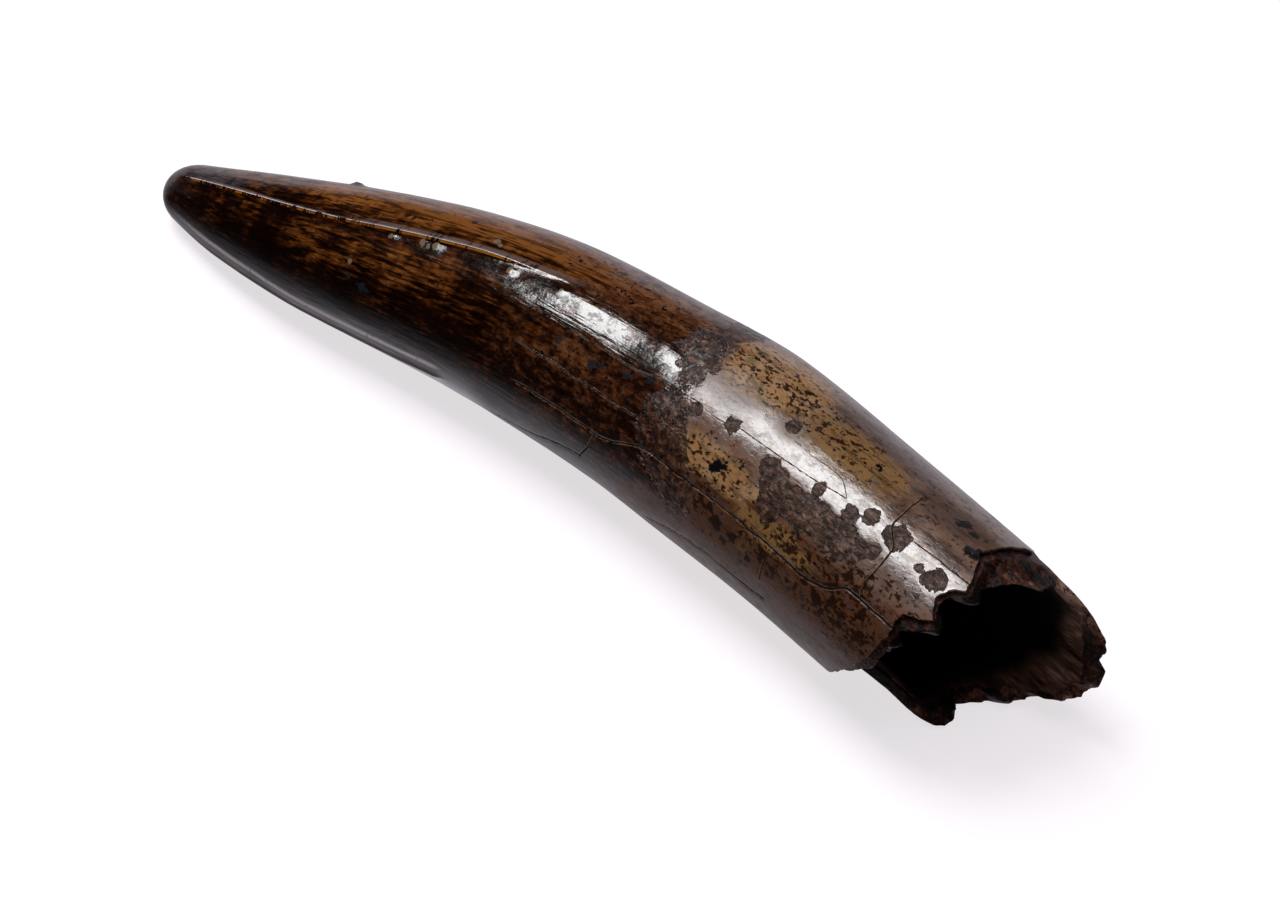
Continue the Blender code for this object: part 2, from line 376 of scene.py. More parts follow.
@dataclass(frozen=True)
class Keel:
    """A cutting keel along the crown, as a line of (along, around) points."""

    name: str
    path: Pairs
    height: float
    sharpness: float
    fades: Span
    ends: Span = (49.0, 53.8)
    blade_power: float = 1.3
    blade_share: float = 0.62
    shoulder_share: float = 0.38
    # Width of the shoulder on either side, in widths of the blade.
    shoulder_before: float = 4.0
    shoulder_past: float = 2.2

    def off(self, patch: Patch) -> Array:
        """Distance in millimetres round the tooth from the keel's crest."""
        return patch.across(curve_through(self.path, patch.along))

    def strength(self, patch: Patch) -> Array:
        """1 along the keel, fading to 0 at its ends."""
        return ease(*self.fades, patch.along) * (1 - ease(*self.ends, patch.along))

    def rise(self, patch: Patch) -> Array:
        """Height in millimetres over the bare tooth.

        Args:
            patch: The stretch of surface.

        Returns:
            The height at each point.
        """
        off = self.off(patch)
        blade = np.exp(-(np.abs(off) / self.sharpness) ** self.blade_power)
        width = np.where(off < 0, self.shoulder_before, self.shoulder_past) * self.sharpness
        shoulder = np.exp(-(off / width) ** 2)
        shape = self.blade_share * blade + self.shoulder_share * shoulder
        return self.height * self.strength(patch) * shape


@dataclass(frozen=True)
class BrokenRim:
    """The broken end of the root, as (around, along) edges of its layers."""

    skin: Pairs = (
        (0, 2.3), (12, 2.6), (27, 3.2), (42, 2.5), (64, 2.6), (81, 2.7), (94, 2.0), (104, 1.6),
        (110, 2.1), (118, 2.3), (124, 2.1), (130, 1.7), (136, 2.3), (142, 3.1), (158, 3.2),
        (172, 3.7), (182, 4.6), (198, 5.9), (212, 6.9), (224, 8.3), (247, 8.6), (253, 6.4),
        (258, 4.8), (276, 4.9), (290, 3.4), (304, 2.6), (318, 1.2), (332, 0.6), (346, 1.4))
    dentine: Pairs = (
        (0, -1.3), (4, -0.9), (10, -0.3), (18, 0.5), (22, 1.6), (27, 2.3), (42, 1.8), (64, 2.2),
        (81, 2.4), (94, 1.8), (104, 1.4), (110, 1.9), (118, 2.1), (124, 1.9), (130, 1.5),
        (136, 2.1), (142, 2.9), (158, 3.0), (172, 3.5), (182, 4.4), (198, 5.7), (212, 6.7),
        (224, 8.1), (247, 8.3), (252, 4.0), (257, 2.7), (262, 2.4), (268, 2.4), (274, 3.2),
        (280, 2.9), (290, 1.8), (300, 1.0), (306, 0.6), (309, 0.1), (312, -0.6), (318, -1.1),
        (324, -1.2), (332, -1.6), (341, -1.6), (345, -1.1), (352, -1.5))
    mouth: Pairs = (
        (0, -0.3), (8, 0.0), (14, 1.4), (26, 1.7), (40, 0.8), (50, 0.5), (61, 0.3), (68, 1.0),
        (78, 1.5), (92, 1.8), (101, 1.8), (111, 2.4), (121, 2.8), (130, 2.4), (142, 3.4),
        (158, 3.6), (172, 4.2), (182, 5.0), (198, 6.2), (212, 7.3), (224, 8.6), (247, 8.7),
        (252, 4.9), (258, 3.4), (280, 3.8), (290, 2.6), (304, 1.4), (315, -0.2), (330, -0.9),
        (345, -0.5))
    mouth_radius: Pairs = ((0, 4.55), (20, 4.6), (45, 4.35), (70, 4.2), (120, 4.15),
                           (180, 4.1), (235, 4.2), (265, 4.45), (320, 4.6))
    step: Pairs = ((0, 0.04), (25, 0.05), (42, 0.22), (205, 0.22), (240, 0.08), (330, 0.04))
    cavity: Pairs = ((-2, 4.7), (2, 4.3), (6, 3.9), (10, 3.45), (15, 2.75), (20, 1.95),
                     (25, 1.0), (27, 0.5), (28, 0.0))
    cavity_end: float = 28.0
    mouth_blend: float = 1.5
    chipped: float = 0.1
    chips: Waves = ((1.0, (1.1, 1.1, 1.1), 0.0), (0.7, (2.7, 2.7, 2.7), 0.0),
                    (0.4, (6.0, 6.0, 6.0), 0.0))
    splinters: float = 1.4
    chips_lean: float = 1.3
    skin_seed: int = 5
    dentine_seed: int = 6
    mouth_seed: int = 7
    mouth_shift: float = -0.1
    ledge_pits: float = 0.02
    ledge_slope: float = 1.2
    mouth_wave: float = 0.05
    mouth_bulge: Span = (0.9, 1.15)
    lumps: float = 0.528
    crumbs: float = 0.8
    hollow: float = 0.34
    chunk_size: float = 2.2
    chunk_base: float = 0.7
    flute_cells: Triple = (1.0, 1.3, 1.3)
    flute_stretch: float = 0.18
    flutes: float = 0.12


# ---------------------------------------------------------------------------------------------
# Where everything lies on the tooth
# ---------------------------------------------------------------------------------------------

KEELS = (
    Keel("upper_keel", ((24, 92), (27, 94), (30, 98), (34, 101), (39, 106), (43, 109),
                        (47, 109), (52, 108)), 0.17, 0.10, (27.5, 34.0)),
    Keel("lower_keel", ((33, 197), (37, 202), (40, 204), (43, 204), (46, 202)),
         0.15, 0.16, (33.6, 34.4)),
)

CRACKS = (
    Crack("shelf_crack", ((9.3, 108), (11.6, 112), (15.7, 115), (17.1, 118), (20.3, 118),
                          (22.8, 121), (29.6, 120)), ((9, 0.0), (14, -0.012), (30, 0.01))),
    Crack("bright_crack", ((20.7, 142), (24.6, 142), (29.5, 141)), ((20, 0.015), (30, 0.02))),
    Crack("main_crack", ((2.4, 143), (4.3, 142), (6.2, 142.5), (7.2, 149), (9.1, 153.5),
                         (12, 153), (17.5, 154), (19.9, 154), (20.8, 158), (22.8, 164),
                         (28.5, 164)),
          ((2, 0.1), (6, 0.085), (9, 0.07), (12, 0.06), (16, 0.045), (28, 0.02)), 0.06),
    Crack("flank_crack", ((23.9, 186), (26.5, 194), (27.7, 200), (30.5, 206)),
          ((23, 0.065), (31, 0.04)), 0.03),
    Crack("flank_link", ((22.9, 164), (23.3, 176), (23.9, 187)), ((160, 0.04), (190, 0.09)),
          0.0, Run.CROSSWISE),
    Crack("low_crack", ((10.7, 186), (12.9, 188), (14.5, 187), (17.3, 192), (19.3, 200)),
          ((10, 0.08), (13, 0.06), (14, 0.03), (20, 0.02)), 0.04),
    Crack("low_link", ((11.0, 161), (11.0, 174)), ((160, 0.02), (175, 0.06)), 0.0,
          Run.CROSSWISE),
    Crack("ridge_crack", ((9.2, 108), (9.9, 103), (10.4, 101), (11.9, 102), (14.0, 102)),
          ((9, 0.0), (11, -0.015), (14, -0.035))),
    Crack("ring_crack", ((7.1, 78), (6.8, 92), (6.6, 103), (5.7, 112), (5.6, 122), (5.6, 135),
                         (5.5, 141)), ((78, 0.02), (100, 0.05), (125, 0.06), (141, 0.05)), 0.0,
          Run.CROSSWISE),
    Crack("rim_crack", ((1.7, 100), (5.3, 102)), ((1, 0.02), (6, 0.01))),
    Crack("back_crack", ((3.2, 18), (9, 14), (15, 19), (24, 21), (29, 17)),
          ((3, 0.07), (12, 0.04), (29, 0.02)), 0.05),
    Crack("under_crack", ((4.0, 318), (10, 323), (18, 315), (25, 318)),
          ((4, 0.08), (14, 0.04), (25, 0.02)), 0.05),
)

MAIN_CRACK = next(crack for crack in CRACKS if crack.name == "main_crack")


@dataclass(frozen=True)
class Guide:
    """A line on the tooth that the mesh's columns crowd along.

    home is the line's angle on a plain ring, crowding and spread say how much closer the
    columns lie there and over how many degrees, and to_rim keeps them so down to the rim.
    """

    path: Pairs
    home: float
    crowding: float
    spread: float
    to_rim: bool = False


GUIDES = (Guide(KEELS[0].path, 107.5, 1.6, 4.0), Guide(MAIN_CRACK.path, 152.5, 1.4, 5.0, True),
          Guide(KEELS[1].path, 202.5, 1.2, 4.0))

# Ragged patches of the skin.
BLOTS = {
    "crust": Blots((
        (13.3, 121, 0.55), (12.6, 125, 0.75), (12.2, 131, 0.75), (12.0, 137, 0.7),
        (11.3, 128, 0.8), (10.4, 127, 0.85), (9.5, 125, 0.85), (8.7, 127, 0.85), (8.0, 123, 0.7),
        (7.6, 128, 0.6), (6.8, 123, 0.5), (6.4, 120, 0.4), (8.5, 113, 0.46), (7.7, 106, 0.48),
        (6.0, 106, 0.66), (3.1, 110, 0.62), (4.1, 110, 0.2), (13.9, 96, 0.38), (10.6, 113, 0.36),
        (16.2, 116, 0.46), (18.2, 122, 0.34), (9.4, 20, 0.6), (8.6, 14, 0.45), (14.0, 350, 0.7),
        (13.1, 345, 0.5), (6.5, 335, 0.5), (11.5, 300, 0.6), (12.4, 306, 0.45), (16.8, 30, 0.4),
        (5.2, 40, 0.35), (15.5, 322, 0.4),
    ), 0.16, 1.9),
    "band": Blots((
        (20.3, 64, 0.8), (20.3, 70, 0.9), (20.4, 77, 1.0), (20.6, 84, 1.1), (20.8, 91, 1.0),
        (20.5, 97, 0.8), (20.1, 103, 0.9), (19.8, 108, 0.8), (19.8, 98, 0.8), (19.7, 128, 0.9),
        (19.7, 134, 1.2), (19.4, 140, 1.3), (18.8, 146, 1.4), (18.2, 152, 1.3), (17.5, 158, 1.2),
        (17.0, 163, 0.9), (20.6, 52, 0.7), (20.9, 40, 0.6), (19.8, 10, 1.0), (20.0, 358, 1.1),
        (19.4, 348, 0.9), (20.5, 320, 0.8), (20.1, 300, 1.0), (19.5, 290, 1.0),
    ), 0.42, 1.1),
    "ink": Blots((
        (15.6, 138, 0.3), (15.3, 136, 0.18), (3.3, 86, 0.24), (2.9, 84, 0.3), (2.7, 81, 0.2),
        (5.0, 76, 0.16), (4.7, 73, 0.26), (4.0, 75, 0.1), (9.6, 81, 0.14), (12.0, 168, 0.2),
        (13.4, 93, 0.12), (7.0, 20, 0.3), (7.6, 26, 0.2),
    ), 0.1, 3.2),
    "stains": Blots((
        (14.4, 163, 0.4), (13.2, 163, 0.3), (13.7, 169, 0.28), (12.7, 158, 0.2), (14.9, 157, 0.3),
        (10.6, 168, 0.16), (10.2, 166, 0.12), (8.5, 154, 0.3), (7.5, 158, 0.34), (6.6, 153, 0.3),
        (7.6, 135, 0.22), (6.5, 136, 0.3), (5.8, 142, 0.26), (4.9, 148, 0.3), (4.6, 158, 0.34),
        (9.4, 161, 0.14), (11.8, 164, 0.12), (5.6, 130, 0.16), (10.9, 320, 0.3), (8.2, 6, 0.3),
        (12.0, 216, 0.4), (9.6, 232, 0.3), (15.2, 244, 0.36), (7.0, 28, 0.3), (11.6, 38, 0.26),
    ), 0.14, 2.4),
}
# Where the crown's enamel begins, as (around, along).
SEAT: Pairs = ((60, 19.6), (82, 19.3), (96, 19.5), (108, 19.8), (118, 19.0), (128, 18.4),
               (142, 18.2), (155, 17.2), (165, 17.5), (185, 21.0), (215, 22.0), (270, 20.5),
               (330, 20.2))
# Areas of the skin and of the break that have a look of their own.
ZONES = {
    "tan": (
        Zone(16.9, 76, 3.2, 25), Zone(15.6, 138, 3.2, 10), Zone(15.5, 15, 3.4, 26),
        Zone(15.8, 305, 3.2, 26),
    ),
    "ochre": (
        Zone(10.6, 86, 3.4, 16), Zone(11.0, 148, 3.0, 8), Zone(10.0, 320, 3.0, 20),
        Zone(13.5, 228, 3.6, 22), Zone(7.5, 262, 3.0, 16), Zone(9.0, 25, 3.0, 14),
    ),
    # Lilac zones: partly the root's own colour, partly painted sheen by the highlight and along
    # the far upper edge.
    "lilac": (
        Zone(10.0, 55, 6.5, 14), Zone(4.0, 120, 2.4, 10), Zone(8.5, 108, 3.6, 9),
        Zone(17.4, 104, 1.9, 9), Zone(7.0, 340, 5.0, 30), Zone(11.0, 250, 4.0, 18),
    ),
    "mottle": (
        Zone(6.0, 161, 3.8, 15), Zone(8.0, 146, 4.6, 9), Zone(7.0, 134, 2.6, 8),
        Zone(18.0, 168, 3.0, 14), Zone(16.0, 150, 2.0, 8), Zone(11.0, 158, 2.0, 8),
        Zone(12.0, 300, 4.0, 30), Zone(14.0, 20, 4.0, 20), Zone(11.0, 212, 5.0, 18),
        Zone(16.0, 255, 3.0, 24), Zone(5.0, 30, 3.0, 26), Zone(8.0, 285, 3.0, 16),
    ),
    "speckled": (
        Zone(15.8, 138, 3.2, 10), Zone(15.9, 80, 3.6, 20), Zone(3.8, 128, 1.9, 11),
        Zone(12.0, 84, 2.5, 10), Zone(7.0, 142, 3.0, 9), Zone(5.5, 158, 2.6, 10),
        Zone(15.0, 310, 4.0, 24), Zone(15.0, 12, 4.0, 22), Zone(13.0, 230, 5.0, 26),
        Zone(7.0, 350, 4.0, 30),
    ),
    "brown": (
        Zone(5.0, 74, 3.4, 13), Zone(11.0, 62, 4.5, 10), Zone(8.0, 92, 2.4, 7),
        Zone(4.0, 95, 1.6, 5),
    ),
    "dull": (Zone(17.7, 101, 2.0, 12), Zone(5.0, 78, 3.0, 14), Zone(14.0, 100, 1.0, 6)),
    "upper": (Zone(38, 66, 22, 25), Zone(30, 0, 22, 40)),
    "lit_wall": (Zone(-0.4, 306, 3.0, 32), Zone(-0.6, 350, 1.6, 24)),
    "plank": (Zone(0.4, 19, 2.3, 13),),
}
# Where the rim is more deeply chipped than elsewhere.
SPLINTERED = (Zone(0.0, 305, 12, 46),)
# Amber clouds of the crown, with how strong each is.
AMBER = ((Zone(40, 86, 9, 19), 1.0), (Zone(38.5, 128, 9, 19), 1.0),
         (Zone(26.5, 133, 3.5, 12), 0.8), (Zone(29, 80, 8, 20), 0.85),
         (Zone(47, 112, 5, 24), 0.48), (Zone(36, 20, 10, 40), 0.7), (Zone(34, 300, 12, 40), 0.5))
# Grains stuck to the crown: (along, around, radius, height).
GRAINS = ((43.5, 50, 0.22, 0.2), (43.2, 52, 0.15, 0.12), (38.8, 111, 0.2, 0.045),
          (36.9, 108.5, 0.2, 0.05), (36.2, 108, 0.24, 0.05), (40.3, 138, 0.16, 0.05),
          (40.1, 148, 0.14, 0.04), (39.2, 152, 0.22, 0.05), (33.5, 90, 0.24, 0.08),
          (33.1, 92, 0.16, 0.07), (31.7, 106, 0.2, 0.07), (28.6, 104, 0.14, 0.06),
          (34.0, 300, 0.2, 0.08))
# Angles over which the skin turns to its shaded side, and to its flank beside the root.
SHADE_TURN = (118.0, 150.0)
FLANK_TURN = (168.0, 186.0)
FLANK_ENDS = (30.0, 33.5)
# Pale, dark and bluish marks on the crown: (along, around, radius). Their places are told by
# the distance round the tooth from SPOT_MIDDLE. Noise frays their outlines.
SPOT_MIDDLE = 107.0
MARK_FRAY = 0.35
MARK_EDGE = (0.03, -0.03)
PALE_MARKS = ((36.2, 108.5, 0.2), (36.6, 110.5, 0.12), (37.0, 108.6, 0.17), (36.9, 111, 0.1),
              (31.7, 106, 0.17), (31.3, 104, 0.12), (33.5, 90, 0.17), (33.2, 92, 0.13),
              (28.6, 104, 0.11), (40.3, 138, 0.12), (38.8, 111, 0.14))
DARK_MARKS = ((38.8, 90, 0.16), (38.4, 91, 0.12), (48.6, 127, 0.16), (43.5, 50, 0.3),
              (44.6, 132, 0.1), (41.5, 84, 0.1), (35.5, 78, 0.14), (27.3, 68, 0.22),
              (26.2, 66, 0.25), (25.6, 71, 0.16), (28.2, 64, 0.18))
BLUE_MARKS = ((40.1, 148, 0.15), (39.2, 152, 0.22), (38.9, 153.5, 0.14), (24.7, 131, 0.24),
              (24.2, 129, 0.16), (27.0, 129, 0.15), (21.3, 122, 0.18), (22.6, 126, 0.2))


@dataclass
class FossilTooth:
    """The whole tooth, as one closed skin that takes the place of its plain solid."""

    form: ToothForm = ToothForm()
    rim: BrokenRim = BrokenRim()
    skin_seed: int = 11
    rim_seed: int = 23
    # Columns of the mesh. They crowd on top, given as (angle, how much, over how many degrees),
    # and are drawn to the guides.
    columns: int = 300
    first_column: float = 262.0
    crowded_top: Triple = (135.0, 0.55, 50.0)
    drawn_over: float = 24.0
    guide_fade: Span = (1.0, 8.0)
    # Rings of the mesh, from the tip to the end of the cavity.
    tip_start: float = 0.06
    tip_zone: float = 3.2
    tip_rings: int = 14
    crown_step: float = 0.28
    fine_until: float = 22.0
    root_step: float = 0.145
    rim_zone: float = 9.6
    rim_rings: int = 46
    ledge_rings: int = 6
    break_rings: int = 18
    cavity_rings: int = 30
    least_ledge: float = 0.05
    # How far the skin lies inside the bare form, and the plain ring on which noise is read.
    margin: float = 0.03
    ring_radius: float = 5.0
    # Waves of the skin, fine lengthwise ones of the crown, and sideways ones of the cracks:
    # (height, cells per mm, shift).
    waves: Waves = ((0.026, (0.22, 0.3, 0.3), 0.0), (0.012, (0.6, 0.8, 0.8), 0.0),
                    (0.003, (2.0, 2.0, 2.0), 5.0))
    striae: Waves = ((0.011, (0.07, 1.5, 1.5), 0.0), (0.005, (0.1, 3.0, 3.0), 3.0))
    wander: Waves = ((0.05, (1.3, 1.3, 1.3), 0.0), (0.02, (4.0, 4.0, 4.0), 0.0))
    crown_starts: Span = (19.0, 27.0)
    # A low swell on top, where the crown begins.
    swell: float = 0.10
    swell_around: float = 102.5
    swell_width: float = 1.7
    swell_rises: Span = (19.5, 22.5)
    swell_falls: Span = (26.5, 31.5)
    # Grooves and lips of the cracks.
    groove_slope: float = 0.05
    lip_height: float = 0.003
    lip_width: float = 0.6
    lip_edge: float = 0.12
    # Crusts, band and stuck grains.
    crust_edge: Span = (-0.08, 0.08)
    crust_cells: float = 4.0
    crust_pits: float = 0.020
    crust_sunk: float = 0.016
    band_edge: Span = (-0.1, 0.15)
    band_cells: float = 2.4
    band_lumps: float = 0.022
    band_sunk: float = 0.008
    grain_cells: float = 4.0
    grain_lumps: float = 0.5
    # Where the relief dies away beside the tip.
    tip_smooth: Span = (53.4, 54.5)

    def column_angles(self) -> Array:
        """Angles of the columns on a plain ring, closer together where detail is finer.

        Returns:
            Angles in degrees, in rising order.
        """
        fine = np.linspace(0.0, FULL_TURN, 3601)
        centre = fine + self.first_column
        top, extra, spread = self.crowded_top
        crowding = 1.0 + extra * np.exp(-(angle_gap(centre, top) / spread) ** 2)
        for guide in GUIDES:
            near = np.exp(-(angle_gap(centre, guide.home) / guide.spread) ** 2)
            crowding += guide.crowding * near
        summed = np.concatenate([[0.0], np.cumsum((crowding[1:] + crowding[:-1]) / 2)])
        shares = np.arange(self.columns) / self.columns * summed[-1]
        return np.interp(shares, summed, fine) + self.first_column

    def drawn_to_guides(self, even: Array, along: Array) -> Array:
        """Column angles along the tooth, drawn to its keels and its main crack.

        Args:
            even: Angles of the columns on a plain ring.
            along: Distances of the rings, as a column vector.

        Returns:
            Angles for each ring and column.
        """
        angles = np.broadcast_to(even, (len(along), len(even))).copy()
        for guide in GUIDES:
            first, last = guide.path[0][0], guide.path[-1][0]
            near, far = self.guide_fade
            strength = 1 - ease(last + near, last + far, along)
            if not guide.to_rim:
                strength = strength * ease(first - far, first - near, along)
            shift = (curve_through(guide.path, along) - guide.home) * strength
            angles += shift * np.exp(-(angle_gap(even, guide.home) / self.drawn_over) ** 2)
        return angles

    def outer_patch(self) -> Patch:
        """The outer skin's rings, from beside the tip to the skin's broken edge.

        Returns:
            The rings, on the bare form.
        """
        form = self.form
        turn = np.linspace(self.tip_start, 1.0, self.tip_rings) * math.pi / 2
        tip = form.tip_along - self.tip_zone * (1 - np.cos(turn))
        crown = np.arange(tip[-1] - self.crown_step, self.fine_until, -self.crown_step)
        root = np.arange(self.fine_until, self.rim_zone, -self.root_step)
        plain = np.concatenate([tip, crown, root])[:, None]
        even = self.column_angles()
        around = self.drawn_to_guides(even, plain)
        last = self.drawn_to_guides(even, np.array([[self.rim_zone]]))
        edge = self.chipped(self.rim.skin, last, self.rim.skin_seed)
        share = np.linspace(0.0, 1.0, self.rim_rings + 1)[:, None]
        near = self.rim_zone + (edge - self.rim_zone) * share
        along = np.concatenate([np.broadcast_to(plain, around.shape), near])
        bent = np.array([self.drawn_to_guides(even, row[:, None]).diagonal() for row in near])
        around = np.concatenate([around, bent])
        return Patch(along, around, form.radius_at(along))

    def chipped(self, edge: Pairs, around: Array, seed: int, shift: float = 0.0) -> Array:
        """An edge of the broken rim with small chips out of it.

        Args:
            edge: The edge as (around, along) points.
            around: Angles to read it at.
            seed: Which run of chips to take.
            shift: How far to move the whole edge along the tooth.

        Returns:
            Distances along the tooth.
        """
        turn = np.radians(around)
        ring = np.stack([np.cos(turn), np.sin(turn), 0 * turn], axis=-1) * self.ring_radius
        chips = self.waved(self.rim.chips, Grit(seed), ring)
        plain = Patch(np.zeros_like(around), around, np.ones_like(around))
        torn = chips * (1.0 + self.rim.splinters * strongest(SPLINTERED, plain))
        taken = self.rim.chipped * (torn + self.rim.chips_lean)
        return around_rim(edge, around) + taken + shift

    def waved(self, waves: Waves, grit: Grit, where: Array) -> Array:
        """Sum of layers of smooth waves at each place."""
        return sum(height * grit.at(where + shift, cells) for height, cells, shift in waves)

    def relief(self, patch: Patch) -> Array:
        """Height in millimetres of the outer skin over the bare tooth.

        Args:
            patch: The stretch of surface.

        Returns:
            The height at each point.
        """
        grit = Grit(self.skin_seed)
        where = patch.straight()
        crown = ease(*self.crown_starts, patch.along)
        height = self.waved(self.waves, grit, where)
        height += crown * self.waved(self.striae, grit, where)
        height += sum(keel.rise(patch) for keel in KEELS)
        swell = ease(*self.swell_rises, patch.along) * (1 - ease(*self.swell_falls, patch.along))
        off = patch.across(self.swell_around) / self.swell_width
        height += self.swell * swell * np.exp(-off ** 2)
        wander = self.waved(self.wander, grit, where)
        for crack in CRACKS:
            off, past, half = np.moveaxis(crack.reach(patch, wander), -1, 0)
            gap = np.hypot(off, past)
            groove = np.exp(-(gap / (half + self.groove_slope)) ** 2)
            lip = np.exp(-(gap / self.lip_width) ** 2) * np.tanh(off / self.lip_edge)
            height += self.lip_height * lip - crack.depth * groove
        crust = ease(*self.crust_edge, BLOTS["crust"].inside(patch, grit))
        height += crust * (self.crust_pits * grit.rough(where, self.crust_cells, 2)
                           - self.crust_sunk)
        band = ease(*self.band_edge, BLOTS["band"].inside(patch, grit))
        height += band * (self.band_lumps * grit.rough(where, self.band_cells, 3)
                          - self.band_sunk)
        for along, around, radius, rise in GRAINS:
            gap = np.hypot(patch.along - along, patch.across(around)) / radius
            lumpy = 1 + self.grain_lumps * grit.at(where, self.grain_cells)
            height += rise * np.exp(-gap ** 2) * lumpy
        return height * (1 - ease(*self.tip_smooth, patch.along)) - self.margin

    def rim_patches(self, edge: Patch) -> tuple[list[Patch], Array, Array]:
        """Rings over the broken rim: the ledge under the skin, the break and the cavity.

        Args:
            edge: The outer skin's last ring.

        Returns:
            The ledge, the break and the cavity's wall; how raised each point is, from -1 to
            1; and how far into the cavity it lies, in millimetres.
        """
        grit = Grit(self.rim_seed)
        turn = np.radians(edge.around)
        ring = np.stack([0 * turn, np.cos(turn), np.sin(turn)], axis=-1) * self.ring_radius
        ledge, dentine = self.ledge_patch(edge, ring, grit)
        broken, lump = self.break_patch(ledge, dentine, ring, grit)
        cavity, ridges = self.cavity_patch(broken, ring, grit)
        crumb = 0.4 * grit.rough(ring + 4.0, 3.0, 2) * np.ones_like(ledge.along)
        raised = np.concatenate([crumb, lump, -ridges])
        inward = np.concatenate(
            [0 * ledge.along, 0 * broken.along, cavity.along - broken.along[-1]])
        return [ledge, broken, cavity], raised, inward

    def ledge_patch(self, edge: Patch, ring: Array, grit: Grit) -> tuple[Patch, Array]:
        """The ledge under the skin's broken edge, out to the dentine's edge.

        Args:
            edge: The outer skin's last ring.
            ring: Places on a plain ring, for the noise.
            grit: The noise.

        Returns:
            The ledge, and how far along the tooth the dentine's edge lies.
        """
        form, rim, around = self.form, self.rim, edge.around
        dentine = self.chipped(rim.dentine, around, rim.dentine_seed)
        dentine = np.minimum(dentine, edge.along - self.least_ledge)
        step = around_rim(rim.step, around)
        share = np.linspace(0.0, 1.0, self.ledge_rings)[:, None]
        along = edge.along - self.margin + (dentine - edge.along + self.margin) * share
        under = form.radius_at(edge.along) - step - self.margin
        outer = form.radius_at(dentine) - step * rim.ledge_slope - self.margin
        spot = ring + np.stack([along, 0 * along, 0 * along], axis=-1)
        pitted = rim.ledge_pits * np.abs(grit.rough(spot, 3.0, 2)) * (share > 0)
        radius = under + (outer - under) * share - pitted
        return Patch(along, np.broadcast_to(around, along.shape), radius), dentine

    def break_patch(self, ledge: Patch, dentine: Array, ring: Array,
                    grit: Grit) -> tuple[Patch, Array]:
        """The crumbly break, from the dentine's edge to the mouth of the cavity.

        Args:
            ledge: The ledge outside it.
            dentine: How far along the tooth the dentine's edge lies.
            ring: Places on a plain ring, for the noise.
            grit: The noise.

        Returns:
            The break, and how raised its lumps are, from -1 to 1.
        """
        rim, around = self.rim, ledge.around[-1]
        mouth = self.chipped(rim.mouth, around, rim.mouth_seed, rim.mouth_shift)
        waves = rim.mouth_wave * grit.at(ring, 2.0)
        mouth_radius = around_rim(rim.mouth_radius, around) + waves
        share = (np.arange(1, self.break_rings + 1) / self.break_rings)[:, None]
        bulge = np.sin(math.pi * share)
        lengthwise, inward = rim.mouth_bulge
        along = dentine + (mouth - dentine) * share ** lengthwise
        radius = ledge.radius[-1] + (mouth_radius - ledge.radius[-1]) * share ** inward
        spot = ring * (radius / self.ring_radius)[..., None] + np.array([2.0, 0.0, 0.0])
        chunks = np.abs(grit.at(spot, 1.1)) * rim.chunk_size - rim.chunk_base
        lump = np.clip(chunks + rim.crumbs * grit.rough(spot, 2.4, 3), -1.0, 1.0)
        along = along - rim.lumps * bulge * lump
        radius = radius + rim.hollow * bulge * (grit.rough(spot + 9.0, 1.7, 3) - 0.45)
        return Patch(along, np.broadcast_to(around, along.shape), radius), lump

    def cavity_patch(self, broken: Patch, ring: Array, grit: Grit) -> tuple[Patch, Array]:
        """The fluted wall of the pulp cavity.

        Args:
            broken: The break outside it.
            ring: Places on a plain ring, for the noise.
            grit: The noise.

        Returns:
            The wall, and how raised its flutes are, from -1 to 1.
        """
        rim, start = self.rim, broken.along[-1]
        share = (np.arange(1, self.cavity_rings + 1) / (self.cavity_rings + 1))[:, None] ** 1.5
        along = start + (rim.cavity_end - start) * share
        blend = np.exp(-(along - start) / rim.mouth_blend)
        wall = curve_through(rim.cavity, along)
        wall = wall + (broken.radius[-1] - curve_through(rim.cavity, start)) * blend
        spot = ring + np.stack([along * rim.flute_stretch, 0 * along, 0 * along], axis=-1)
        ridges = grit.rough(spot, rim.flute_cells, 3)
        flutes = rim.flutes * ridges * (1 - share) * ease(0.0, 0.02, share)
        around = np.broadcast_to(broken.around[-1], along.shape)
        return Patch(along, around, wall + flutes), ridges

    def build(self) -> bpy.types.Object:
        """Builds the tooth's mesh with the fields that its finish reads.

        Returns:
            The new object, without a material.
        """
        outer = self.outer_patch()
        skin = Patch(outer.along, outer.around, outer.radius + self.relief(outer))
        edge = Patch(skin.along[-1], skin.around[-1], skin.radius[-1])
        inner, raised, inward = self.rim_patches(edge)
        stretches = [skin, *inner]
        whole = Patch(np.concatenate([part.along for part in stretches]),
                      np.concatenate([part.around for part in stretches]),
                      np.concatenate([part.radius for part in stretches]))
        rings, columns = whole.along.shape
        points = self.form.place(whole.along, whole.around, whole.radius).reshape(-1, 3)
        poles = [self.form.place(np.array(along), np.array(0.0), np.array(0.0))[None]
                 for along in (self.form.tip_along, self.rim.cavity_end)]
        vertices = np.clip(np.concatenate([points, *poles]), *map(np.array, CAD_BOX))
        mesh = bpy.data.meshes.new("fossil_tooth")
        mesh.from_pydata(vertices.tolist(), [], self.faces(rings, columns))
        mesh.update()
        mesh.shade_smooth()
        self.unroll(mesh, rings, columns)
        self.sharpen(mesh, columns, len(skin.along))
        sizes = [part.along.shape[0] for part in stretches]
        plain = np.zeros_like(skin.along)
        self.store_fields(mesh, whole, sizes, {"raised": np.concatenate([plain, raised]),
                                               "inward": np.concatenate([plain, inward])})
        tooth = bpy.data.objects.new("fossil_tooth", mesh)
        bpy.context.scene.collection.objects.link(tooth)
        return tooth

